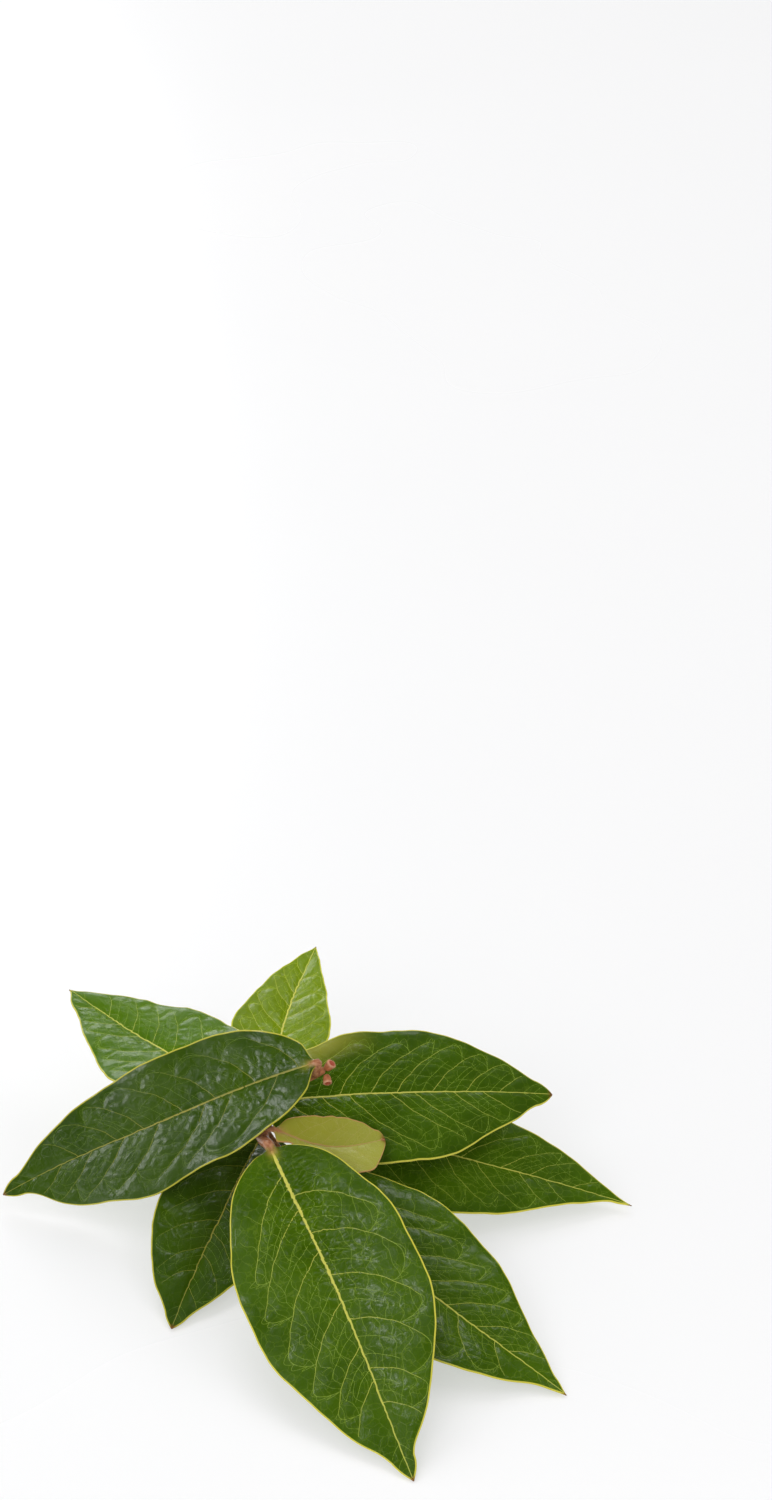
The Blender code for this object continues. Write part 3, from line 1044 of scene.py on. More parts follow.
class BladeShape:
    """Geometry Nodes tree that puckers a blade round its veins and lays the ribs on it."""

    def __init__(self) -> None:
        """Write the tree."""
        w = self.wiring = ShapeWiring("blade_shape")
        main, cross = w.take("Main veins", "object"), w.take("Cross veins", "object")
        ribs = w.take("Ribs", "object")
        quilt, groove = w.take("Quilt height"), w.take("Groove depth")
        pucker, pebble = w.take("Pucker height"), w.take("Pebble height")
        wander, sink = w.take("Wander height"), w.take("Rib sink")
        sides = w.take("Rib sides", "count")
        blade_skin, rib_skin = w.take("Blade finish", "material"), w.take("Rib finish", "material")
        flat = w.place("flat")
        level = w.vector("MULTIPLY", flat, (1.0, 1.0, 0.0))
        away = self.distance(w, main, level)
        away_fine = self.distance(w, cross, level)
        lumps = w.noise(level, 0.17, 2.0)
        hill = w.math("SUBTRACT", 1.0, w.bell(away, 2.3))
        cushions = w.times(quilt, hill, w.math("ADD", lumps, 0.35))
        dents = w.times(groove, w.bell(away, 0.55), -1.0)
        small = w.times(groove, w.bell(away_fine, 0.5), -0.6)
        across = w.add("ShaderNodeSeparateXYZ", {0: level}).outputs
        folds = w.swing(w.vector("MULTIPLY", level, (0.66, 0.24, 1.0)), 1.0, 3.5, 1.2)
        near_rib = w.bell(across[1], 5.5)
        near_foot = w.ramp(w.number("along"), 0.28, 0.62, 1.0, 0.12)
        creases = w.times(folds, pucker, near_rib, near_foot)
        pebbles = w.times(w.swing(level, 0.85, 3.0), pebble)
        drift = w.times(w.swing(level, 0.075, 1.0), wander)
        total = w.times(w.plus(cushions, dents, small, creases, pebbles, drift),
                        w.number("free"), MM)
        blade = w.moved(w.start.outputs[0], w.scaled(w.place("up_way"), total))
        blade = w.store(blade, "near_vein", w.plus(w.bell(away, 0.8),
                                                   w.times(w.bell(away_fine, 0.4), 0.5)))
        w.outlet(w.joined(blade, self.ribs(w, ribs, blade, sink, sides)), (blade_skin, None),
                 (rib_skin, w.math("GREATER_THAN", w.number("is_rib"), 0.5)))

    @staticmethod
    def distance(w: ShapeWiring, target: Feed, place: Feed) -> bpy.types.NodeSocket:
        """Distance on the flat blade to the nearest of an object's strands.

        Args:
            w: the tree's wiring.
            target: the object.
            place: places on the flat blade.

        Returns:
            The distance's socket.
        """
        shape = w.add("GeometryNodeObjectInfo", {0: target}).outputs["Geometry"]
        return w.add("GeometryNodeProximity", {"Geometry": shape, "Sample Position": place},
                     target_element="EDGES").outputs["Distance"]

    @staticmethod
    def ribs(w: ShapeWiring, target: Feed, blade: Feed, sink: Feed,
             sides: Feed) -> bpy.types.NodeSocket:
        """Tapered ribs along the strands, pressed into the blade.

        Args:
            w: the tree's wiring.
            target: object whose strands the ribs follow.
            blade: the finished blade.
            sink: share of its radius that a rib's centre lies below the surface.
            sides: sides of a rib.

        Returns:
            The ribs' socket.
        """
        shape = w.add("GeometryNodeObjectInfo", {0: target}).outputs["Geometry"]
        curve = w.add("GeometryNodeMeshToCurve", {0: shape}).outputs[0]
        spot = w.add("GeometryNodeProximity", {"Geometry": blade},
                     target_element="FACES").outputs["Position"]
        radius = w.number("radius_m")
        drop = w.scaled(w.place("out_way"), w.times(radius, sink, -1.0))
        curve = w.add("GeometryNodeSetPosition", {0: curve, 2: spot, 3: drop}).outputs[0]
        here = w.add("GeometryNodeInputPosition").outputs[0]
        curve = w.store(curve, "rib_centre", here, "FLOAT_VECTOR")
        ring = w.add("GeometryNodeCurvePrimitiveCircle", {"Resolution": sides, "Radius": 1.0})
        tube = w.add("GeometryNodeCurveToMesh",
                     {0: curve, 1: ring.outputs[0], "Scale": radius, "Fill Caps": True}).outputs[0]
        tube = w.add("GeometryNodeSetShadeSmooth", {0: tube}).outputs[0]
        reach = w.vector("SUBTRACT", here, w.place("rib_centre"))
        shift = w.add("ShaderNodeCombineXYZ",
                      {0: w.vector("DOT_PRODUCT", reach, w.place("ahead_way")),
                       1: w.vector("DOT_PRODUCT", reach, w.place("left_way"))}).outputs[0]
        return w.store(tube, "flat", w.vector("ADD", w.place("flat"), w.scaled(shift, 1 / MM)),
                       "FLOAT_VECTOR")


@dataclass
class LeafPiece:
    """One leaf: its form, its veins and how strongly its blade is puckered."""

    name: str
    node: str
    slot: str
    form: LeafForm
    skin: bpy.types.Material
    ribs: bpy.types.Material
    pairs: int = 7
    open_left: float = 48.0
    open_right: float = 58.0
    rib: float = 0.75                  # thickness of the midrib against the thickest one
    fineness: float = 1.0              # thickness of the other veins
    knob: float = 0.0                  # extra radius of the midrib's end
    quilt: float = 0.18                # height of the cushions between the veins
    groove: float = 0.10               # depth of the grooves along the veins
    pucker: float = 0.45               # height of the creases near the foot
    pebble: float = 0.12               # height of the finest lumps
    wander: float = 0.60               # height of the broad waves
    step: float = 0.35                 # spacing of the mesh's points

    EDGE_STEPS = (0.0, 0.03, 0.08, 0.15, 0.25, 0.40)    # lines beside the margin
    FAR_EDGE = 9.0                     # distance to the margin that is stored on the stalk
    SPINE = (0.012, 0.992)             # shares of the length where the midrib starts and ends
    RIB_LIFT = 0.45                    # height from which a rib drops on to the blade
    SINK = 0.70                        # share of its radius that a rib lies in the blade
    SIDES = 6                          # sides of a rib
    FINEST_BELOW = 0.7                 # finer veins show only on the upper side
    MAP_MARGIN = 0.6                   # gap round each side in the texture map
    ROOT = 0.35                        # how deep the stalk starts in the twig

    def columns(self, share: np.ndarray) -> np.ndarray:
        """Places across the blade, the same count in every row, close together at the rim.

        Args:
            share: the rows' places along the blade.

        Returns:
            One row of places from 1 to -1 for each share.
        """
        inner = max(8, round(self.form.width / 2 / self.step))
        halves = []
        for side in (1, -1):
            width = self.form.half_width(share, np.full(len(share), side))[:, None]
            shrink = np.minimum(1.0, width / 1.4)
            rim = 1 - np.array(self.EDGE_STEPS)[None] * shrink / width
            rest = np.linspace(1, 0, inner + 1)[None, 1:] * rim[:, -1:]
            halves.append(np.hstack((rim, rest)))
        return np.hstack((halves[0], -halves[1][:, -2::-1]))

    def stalk_rows(self, twig: "Twig", angles: np.ndarray) -> tuple[np.ndarray, np.ndarray]:
        """Rings of the stalk from inside the twig to the foot of the blade.

        Args:
            twig: the twig that it grows from.
            angles: angle of each point round a ring.

        Returns:
            The rings, and their distance before the foot.
        """
        end, forward, left, _ = (a[0] for a in self.form.midrib(np.array([0.0])))
        centre, along = twig.centre(self.form.node), twig.tangent(self.form.node)
        reach = end - centre
        out = unit(reach - along * (reach @ along))
        start = centre + out * (twig.radius(self.form.node) - self.ROOT)
        pull = np.linalg.norm(end - start) * 0.4
        handles = (start, start + out * pull, end - forward * pull, end)
        count = max(8, round(np.linalg.norm(end - start) / 0.4))
        u = np.linspace(0, 1, count, endpoint=False)
        spots = bezier(handles, u)
        ways = unit(bezier(handles, u + 0.01) - bezier(handles, u - 0.01))
        side = unit(left[None] - ways * (ways @ left)[:, None])
        above = np.cross(ways, side)
        swell = 1.18 - 0.18 * u + 0.30 * np.exp(-(u / 0.16)**2)
        channel = 1 - 0.16 * np.exp(-((angles - np.pi / 2) / 0.55)**2)
        radius = self.form.stalk * swell[:, None] * channel[None]
        rings = (spots[:, None] + (radius * np.cos(angles))[..., None] * side[:, None]
                 + (radius * np.sin(angles))[..., None] * above[:, None])
        left_over = np.linalg.norm(np.diff(np.vstack((spots, end)), axis=0), axis=1)
        return rings, -np.cumsum(left_over[::-1])[::-1]

    def blade_rows(self, angles: np.ndarray) -> dict[str, np.ndarray]:
        """Rings of the blade with what is stored on them.

        Args:
            angles: angle of each ring point on a round stalk.

        Returns:
            Arrays by name, one row for each ring.
        """
        form = self.form
        count = round(form.length / self.step)
        share = np.linspace(0, 1, count + 1)
        share = 0.85 * share + 0.15 * (0.5 - 0.5 * np.cos(np.pi * share))
        upper = self.columns(share)
        v = np.hstack((upper, upper[:, -2:0:-1]))
        lower = np.hstack((np.zeros(upper.shape[1]), np.ones(upper.shape[1] - 2)))
        rows = np.broadcast_to(share[:, None], v.shape)
        width = form.half_width(rows, np.where(v >= 0, 1.0, -1.0))
        edge = width * (1 - np.abs(v))
        half = (form.FULL + (form.RIM - form.FULL) * np.abs(v)) / 2
        half = half + 0.03 * np.exp(-((edge - 0.17) / 0.09)**2)
        half = half * np.sqrt(np.clip(1 - (1 - np.clip(edge / 0.15, 0, 1))**2, 0, 1))
        half = half * np.minimum(1.0, (1 - rows) * form.length / 0.8 + 0.25)
        foot = np.minimum(form.RIDGE_HALF / width, 0.2)
        ridge = form.RIDGE * (1 - rows)**1.3 * smooth(1 - np.abs(v) / foot)
        lift = np.where(lower > 0, -half - ridge, half)
        blade = form.sheet(rows, v, lift)
        point, _, left, up = form.midrib(rows)
        ring = (point + left * (form.stalk * np.cos(angles))[None, :, None]
                + up * (form.stalk * np.sin(angles))[None, :, None])
        opened = smooth(rows * form.length / form.neck)[..., None]
        x, y = rows * form.length, v * width
        free = smooth(edge / 1.6) * smooth((rows - 0.02) / 0.10)
        free = free * smooth((1 - rows) * form.length / 6.0)
        stalk = (1 - smooth(x / 2.6)) * np.exp(-(y / (0.9 + 0.1 * x))**2)
        flare = 0.5 * (1 - smooth(x / 5.0)) * np.exp(-(y / (0.8 + 0.10 * x))**2)
        tip = (1 - smooth((1 - rows) * form.length / 1.3)) * np.exp(-(y / 1.1)**2)
        lower = np.broadcast_to(lower, x.shape)
        return {"co": ring + (blade - ring) * opened, "up_way": up, "edge": edge, "free": free,
                "across": y, "flat": np.stack((x, y, lower * UNDER_SHIFT), -1), "along": rows,
                "lower": lower, "stalk": stalk, "flare": flare, "tip": tip}

    def blade(self, twig: "Twig") -> bpy.types.Object:
        """Stalk and blade as one closed mesh.

        Args:
            twig: the twig that the stalk grows from.

        Returns:
            The object, before its relief.
        """
        across = self.columns(np.array([0.5])).shape[1]
        turn = np.pi * np.arange(across) / (across - 1)
        angles = np.hstack((turn, -turn[-2:0:-1]))
        rows = self.blade_rows(angles)
        rings, before = self.stalk_rows(twig, angles)
        shape = rings.shape[:2]
        lower = np.broadcast_to(rows["lower"][:1], shape)
        wrap = np.where(angles >= 0, np.pi / 2 - angles, np.pi / 2 + angles) * self.form.stalk
        flat = np.stack((np.broadcast_to(before[:, None], shape), np.broadcast_to(wrap, shape),
                         lower * UNDER_SHIFT), -1)
        stalk = dict.fromkeys(rows, np.zeros(shape))
        stalk |= {"co": rings, "up_way": np.zeros((*shape, 3)), "flat": flat, "lower": lower,
                  "edge": np.full(shape, self.FAR_EDGE), "stalk": np.ones(shape)}
        data = {key: np.concatenate((stalk[key], rows[key])) for key in rows}
        count, width = data["co"].shape[:2]
        index = np.arange(count * width).reshape(count, width)
        following = np.roll(index, -1, 1)
        quads = np.stack((index[:-1], index[1:], following[1:], following[:-1]), -1).reshape(-1, 4)
        faces = quads.tolist()
        first, last = count * width, count * width + 1
        faces += [(first, index[0, i], following[0, i]) for i in range(width)]
        faces += [(last, following[-1, i], index[-1, i]) for i in range(width)]
        data = {key: np.concatenate((value.reshape(-1, *value.shape[2:]),
                                     np.stack((value[0].mean(0), value[-1].mean(0)))))
                for key, value in data.items()}
        mesh = layout_mesh(self.name, data.pop("co"), faces)
        for key, value in data.items():
            give(mesh, key, value)
        give(mesh, "is_rib", np.zeros(len(mesh.vertices)))
        return plain_object(self.name, mesh)

    def spine_size(self, share: np.ndarray, lower: float) -> tuple[np.ndarray, np.ndarray]:
        """Radius and fineness of the midrib.

        Args:
            share: places along the blade.
            lower: 1 on the underside and 0 on the upper side.

        Returns:
            Radius in millimetres and place in the order of veins, for each place.
        """
        radius = (0.74 if lower else 0.64 * self.rib) * (1 - share)**0.75
        radius = (radius + 0.05 + 0.05 * self.rib) * (0.35 + 0.65 * smooth(share / 0.05))
        to_tip = (1 - share) * self.form.length
        return radius + self.knob * np.exp(-((to_tip - 0.5) / 0.45)**2), 0.20 * share

    def vein_size(self, vein: Vein) -> tuple[np.ndarray, np.ndarray]:
        """Radius and fineness along a vein.

        Args:
            vein: the vein.

        Returns:
            Radius in millimetres and place in the order of veins, for each of its points.
        """
        run = np.linspace(0, 1, len(vein.points))
        radius = (vein.thick + (vein.thin - vein.thick) * run**0.6) * self.fineness
        fine = np.full(len(run), vein.fine)
        return radius, fine * (0.55 + 0.45 * run) if vein.fine < 0.4 else fine

    def brown_ends(self, x: np.ndarray) -> np.ndarray:
        """Share of the stalk's brown on the midrib.

        Args:
            x: places along the flat blade.

        Returns:
            A share for each place.
        """
        ends = 1 - smooth(x / 3.0)
        if self.knob:
            ends = np.maximum(ends, 1 - smooth((self.form.length - x - 0.4) / 0.8))
        return ends

    def rib_strands(self, veins: list[Vein]) -> bpy.types.Object:
        """Veins and midrib on both sides of the blade, as strands with what the ribs need.

        Args:
            veins: the flat plan, without the midrib.

        Returns:
            The strands' object.
        """
        form = self.form
        spine = np.linspace(*self.SPINE, max(20, round(form.length / 0.8)))
        middle = Vein(np.stack((spine * form.length, spine * 0), -1), 0.0, 0.0, 0.0)
        paths, kept = [], {}
        for lower in (0.0, 1.0):
            for vein in [middle, *veins]:
                if lower and vein.fine > self.FINEST_BELOW:
                    continue
                x, y = vein.points.T
                share = x / form.length
                v = y / form.half_width(share, np.where(y >= 0, 1.0, -1.0))
                outward = -1.0 if lower else 1.0
                deep = lower * 2 * self.RIB_LIFT * float(vein is middle)
                lift = np.full(len(x), outward * self.RIB_LIFT - deep)
                paths.append((form.sheet(share, v, lift) - ORIGIN) * MM)
                radius, fine = (self.spine_size(share, lower) if vein is middle
                                else self.vein_size(vein))
                _, ahead, left, up = form.midrib(share)
                row = {"flat": np.stack((x, y, np.full(len(x), lower * UNDER_SHIFT)), -1),
                       "out_way": up * outward, "left_way": left, "ahead_way": ahead,
                       "radius_m": radius * MM, "fine": fine, "lower": np.full(len(x), lower),
                       "stalk": self.brown_ends(x) * float(vein is middle)}
                for key, values in row.items():
                    kept.setdefault(key, []).append(values)
        thing = strands(self.name + "_ribs", paths)
        for key, values in kept.items():
            give(thing.data, key, np.concatenate(values))
        give(thing.data, "is_rib", np.ones(len(thing.data.vertices)))
        return thing

    def bake_map(self, mesh: bpy.types.Mesh) -> None:
        """Lay the two sides of the leaf out side by side in one texture map.

        Args:
            mesh: the finished leaf's mesh.
        """
        flat = np.zeros(len(mesh.vertices) * 3, np.float32)
        mesh.attributes["flat"].data.foreach_get("vector", flat)
        flat = flat.reshape(-1, 3)
        corners = np.zeros(len(mesh.loops), np.int32)
        mesh.loops.foreach_get("vertex_index", corners)
        starts = np.zeros(len(mesh.polygons), np.int32)
        totals = np.zeros(len(mesh.polygons), np.int32)
        mesh.polygons.foreach_get("loop_start", starts)
        mesh.polygons.foreach_get("loop_total", totals)
        lower = np.maximum.reduceat(flat[corners, 2], starts) > UNDER_SHIFT / 2
        lower = np.repeat(lower, totals)
        low, high = flat.min(0), flat.max(0)
        tall = high[1] - low[1] + 2 * self.MAP_MARGIN
        size = max(high[0] - low[0] + 2 * self.MAP_MARGIN, 2 * tall)
        u = (flat[corners, 0] - low[0] + self.MAP_MARGIN) / size
        v = (flat[corners, 1] - low[1] + self.MAP_MARGIN + lower * tall) / size
        layer = mesh.uv_layers.new(name="OFBake")
        layer.data.foreach_set("uv", np.stack((u, v), -1).astype(np.float32).ravel())

    def build(self, shape: BladeShape, twig: "Twig") -> bpy.types.Object:
        """Build, dress and attach the leaf.

        Args:
            shape: the relief and rib tree.
            twig: the twig that it grows from.

        Returns:
            The finished object.
        """
        plan = VeinPlan(self.form, self.pairs, self.open_left, self.open_right)
        veins = plan.lay_out()
        flats = {True: [], False: []}
        for vein in veins:
            flats[vein.fine < 0.6].append(np.pad(vein.points, ((0, 0), (0, 1))))
        spine = np.array(((0.0, 0.0, 0.0), (self.form.length, 0.0, 0.0)))
        helpers = [strands("main_veins", [spine, *flats[True]]),
                   strands("cross_veins", flats[False]), self.rib_strands(veins)]
        blade = self.blade(twig)
        piece = shape.wiring.apply(blade, {
            "Main veins": helpers[0], "Cross veins": helpers[1], "Ribs": helpers[2],
            "Quilt height": self.quilt, "Groove depth": self.groove,
            "Pucker height": self.pucker, "Pebble height": self.pebble,
            "Wander height": self.wander, "Rib sink": self.SINK, "Rib sides": self.SIDES,
            "Blade finish": self.skin, "Rib finish": self.ribs})
        for helper in helpers:
            bpy.data.objects.remove(helper, do_unlink=True)
        self.bake_map(piece.data)
        attach(piece, self.node)
        return piece


# ---------------------------------------------------------------- twig
@dataclass
class Twig:
    """Cut twig: a tapering curved stem with swollen nodes, bark, warts and a pale cut end."""

    skin: bpy.types.Material
    path: tuple = ((-3.0, 60.0, 1.9), (-7.5, 43.0, 7.6), (-11.0, 28.0, 14.0), (-12.0, 16.0, 19.8),
                   (-10.8, 8.7, 24.0), (-6.6, 10.3, 30.7), (1.3, 11.0, 36.0))
    thick: float = 1.75
    thin: float = 0.78
    nodes: tuple = (0.14, 0.27, 0.365, 0.41, 0.455, 0.50, 0.575, 0.65)
    swell: float = 0.22
    reach: float = 0.022
    wrinkle: float = 0.16
    wart: float = 0.13                 # radius of a wart
    warts: float = 0.55                # warts on each square millimetre
    seed: int = 4

    LID = (0.93, 0.72, 0.45, 0.2, 0.02)    # rings that close an end, against its radius
    TIP_DOME = 0.55
    CUT_DOME = 0.10
    SIDES = 40
    ROWS = 260

    def centre(self, share: float) -> np.ndarray:
        """Middle of the stem at a share of its length."""
        return spline(self.path, np.array([share]))[0]

    def tangent(self, share: float) -> np.ndarray:
        """Direction of the stem at a share of its length."""
        ends = spline(self.path, np.array([share - 0.004, share + 0.004]))
        return unit(ends[1] - ends[0])

    def radius(self, share: np.ndarray | float) -> np.ndarray | float:
        """Radius of the stem.

        Args:
            share: places along it.

        Returns:
            The radius at each place.
        """
        radius = self.thick + (self.thin - self.thick) * smooth(share)
        for node in self.nodes:
            radius = radius + self.swell * np.exp(-((share - node) / self.reach)**2)
        return radius

    def tree(self) -> ShapeWiring:
        """Write the Geometry Nodes tree that wrinkles the bark and scatters the warts.

        Returns:
            The tree's wiring.
        """
        w = ShapeWiring("bark_shape")
        wrinkle, wart = w.take("Wrinkle depth"), w.take("Wart radius")
        density, seed = w.take("Warts per square metre"), w.take("Seed", "count")
        skin = w.take("Finish", "material")
        flat = w.place("flat")
        grain = w.swing(w.vector("MULTIPLY", flat, (0.30, 1.5, 1.0)), 1.0, 4.0)
        normal = w.add("GeometryNodeInputNormal").outputs[0]
        depth = w.times(grain, wrinkle, w.math("SUBTRACT", 1.0, w.number("end")))
        stem = w.moved(w.start.outputs[0], w.scaled(normal, depth))
        bare = w.math("LESS_THAN", w.plus(w.number("end"), w.number("along")), 0.9)
        points, turn = w.scatter(stem, bare, density, seed)
        ball = w.add("GeometryNodeMeshIcoSphere", {0: wart, 1: 2}).outputs[0]
        ball = w.store(ball, "wart", 1.0)
        size = w.add("FunctionNodeRandomValue", {2: 0.55, 3: 1.2, 8: seed}).outputs[1]
        lens = w.add("ShaderNodeCombineXYZ",
                     {0: w.times(size, 0.8), 1: w.times(size, 1.5), 2: w.times(size, 0.5)})
        w.dressed(stem, points, ball, turn, lens.outputs[0], skin)
        return w

    def stem(self) -> bpy.types.Object:
        """The bare stem, domed at its tip and cut at its foot.

        Returns:
            The object, before its relief.
        """
        sides = self.SIDES
        share = np.linspace(0, 1, self.ROWS + 1)
        spots = spline(self.path, share)
        ways = unit(np.gradient(spots, axis=0))
        side, rings = np.array((1.0, 0.0, 0.0)), []
        turn = 2 * np.pi * np.arange(sides) / sides
        run = np.hstack((0, np.cumsum(np.linalg.norm(np.diff(spots, axis=0), axis=1))))
        for spot, way, radius in zip(spots, ways, self.radius(share)):
            side = unit(side - way * (side @ way))
            other = np.cross(way, side)
            rings.append(spot + radius * (np.cos(turn)[:, None] * side
                                          + np.sin(turn)[:, None] * other))
        rings = np.array(rings)
        lids = []
        for end in (0, -1):
            for inner in self.LID:
                dome = self.TIP_DOME * (1 - inner**2) if end else self.CUT_DOME * (inner - 1)
                lids.append(spots[end] + (rings[end] - spots[end]) * inner + ways[end] * dome)
        lid = len(self.LID)
        co = np.concatenate((np.array(lids[:lid])[::-1], rings, np.array(lids[lid:])))
        rows = len(co)
        mesh = layout_mesh("twig_bark", co.reshape(-1, 3), tube_faces(rows, sides))
        length = np.concatenate((np.full(lid, -1.0), run, np.full(lid, run[-1] + 1)))
        along = np.concatenate((np.zeros(lid), share, np.ones(lid)))
        end = np.concatenate((np.ones(lid), np.zeros(rows - lid)))
        cut = np.concatenate((self.LID[::-1], np.ones(rows - lid)))
        girth = np.broadcast_to(turn * 1.5, (rows, sides))
        give(mesh, "flat", np.stack((np.repeat(length, sides), girth.ravel(),
                                     np.repeat(cut * 3, sides)), -1))
        for name, values in (("along", along), ("end", end), ("cut", cut)):
            give(mesh, name, np.repeat(values, sides))
        give(mesh, "wart", np.zeros(rows * sides))
        return plain_object("twig_bark", mesh)

    def build(self) -> bpy.types.Object:
        """Build, dress and attach the twig.

        Returns:
            The finished object.
        """
        piece = self.tree().apply(self.stem(), {
            "Wrinkle depth": self.wrinkle * MM, "Wart radius": self.wart * MM,
            "Warts per square metre": self.warts / MM**2, "Seed": self.seed,
            "Finish": self.skin})
        attach(piece, "twig")
        return piece


# ---------------------------------------------------------------- buds
@dataclass
class Bud:
    """Plump bud that ends in a shallow reddish cup with a hairy rim."""

    name: str
    node: str
    skin: bpy.types.Material
    centre: tuple
    direction: tuple
    length: float
    radius: float
    seed: int = 1
    lump: float = 0.22
    hair: float = 0.22                 # length of a hair
    hairs: float = 60.0                # hairs on each square millimetre of the rim

    SIDES = 28
    ROWS = 44
    # Distance along the bud, radius, share of the rim's finish and of the heart's finish.
    PROFILE = ((0.00, 0.62, 0, 0), (0.13, 0.80, 0, 0), (0.28, 0.93, 0, 0), (0.42, 1.00, 0, 0),
               (0.56, 1.03, 0, 0), (0.68, 1.05, 0.2, 0), (0.78, 1.05, 0.8, 0),
               (0.85, 1.00, 1, 0), (0.89, 0.88, 1, 0.1), (0.89, 0.76, 0.5, 0.6),
               (0.87, 0.52, 0, 1), (0.89, 0.26, 0, 1), (0.91, 0.06, 0, 1))

    def tree(self) -> ShapeWiring:
        """Write the Geometry Nodes tree that roughens the bud and grows hairs on its rim.

        Returns:
            The tree's wiring.
        """
        w = ShapeWiring("bud_shape")
        lump, length = w.take("Lump height"), w.take("Hair length")
        density, seed = w.take("Hairs per square metre"), w.take("Seed", "count")
        skin = w.take("Finish", "material")
        normal = w.add("GeometryNodeInputNormal").outputs[0]
        lumps = w.times(w.swing(w.place("flat"), 1.1, 3.0), lump)
        body = w.moved(w.start.outputs[0], w.scaled(normal, lumps))
        rim = w.math("GREATER_THAN", w.number("rim"), 0.5)
        points, upright = w.scatter(body, rim, density, seed)
        hair = w.add("GeometryNodeMeshCone",
                     {"Vertices": 5, "Radius Top": 0.004 * MM,
                      "Radius Bottom": 0.018 * MM, "Depth": length}).outputs[0]
        hair = w.store(w.store(hair, "rim", 1.0), "heart", 0.0)
        size = w.add("FunctionNodeRandomValue", {2: 0.5, 3: 1.2, 8: seed}).outputs[1]
        tilt = w.add("FunctionNodeRandomValue", {0: (-0.5, -0.5, 0.0), 1: (0.5, 0.5, 6.0), 8: seed},
                     data_type="FLOAT_VECTOR").outputs[0]
        turned = w.add("FunctionNodeRotateRotation", {0: upright, 1: tilt},
                       rotation_space="LOCAL").outputs[0]
        w.dressed(body, points, hair, turned, size, skin)
        return w

    def build(self) -> bpy.types.Object:
        """Build, dress and attach the bud.

        Returns:
            The finished object.
        """
        along = unit(np.array(self.direction, float))
        side = unit(np.cross(along, (0.3, 0.2, 1.0)))
        other = np.cross(along, side)
        sides, steps = self.SIDES, self.ROWS
        knots = spline(self.PROFILE, np.linspace(0, 1, steps))
        turn = 2 * np.pi * np.arange(sides) / sides
        start = np.array(self.centre) - along * self.length * 0.62
        spokes = np.cos(turn)[:, None] * side + np.sin(turn)[:, None] * other
        co = (start + along * (knots[:, :1] * self.length * 1.12)[:, None]
              + spokes[None] * (knots[:, 1:2] * self.radius)[:, None])
        mesh = layout_mesh(self.name, co.reshape(-1, 3), tube_faces(steps, sides))
        give(mesh, "flat", co.reshape(-1, 3) + self.seed * 7)
        give(mesh, "rim", np.repeat(np.clip(knots[:, 2], 0, 1), sides))
        give(mesh, "heart", np.repeat(np.clip(knots[:, 3], 0, 1), sides))
        piece = self.tree().apply(plain_object(self.name, mesh), {
            "Lump height": self.lump * MM, "Hair length": self.hair * MM,
            "Hairs per square metre": self.hairs / MM**2, "Seed": self.seed,
            "Finish": self.skin})
        attach(piece, self.node)
        return piece


# ---------------------------------------------------------------- studio
@dataclass(frozen=True)
class Softbox:
    """Square lamp that lights the sprig from one side."""

    name: str
    azimuth: float
    height: float
    away: float
    size: float
    power: float
    mirrored: bool = False             # True: lights only sheen; False: everything but sheen

    def build(self) -> None:
        """Hang the lamp and turn it to the sprig."""
        lamp = bpy.data.lights.new(self.name, "AREA")
        lamp.shape, lamp.size, lamp.energy = "SQUARE", self.size, self.power
        thing = bpy.data.objects.new(self.name, lamp)
        level = math.cos(math.radians(self.height)) * self.away
        turn = math.radians(self.azimuth)
        thing.location = (level * math.cos(turn), level * math.sin(turn),
                          math.sin(math.radians(self.height)) * self.away)
        aim = Vector((0, 0, 0.02)) - thing.location
        thing.rotation_euler = aim.to_track_quat("-Z", "Y").to_euler()
        thing.visible_glossy = self.mirrored
        thing.visible_diffuse = not self.mirrored
        bpy.context.scene.collection.objects.link(thing)


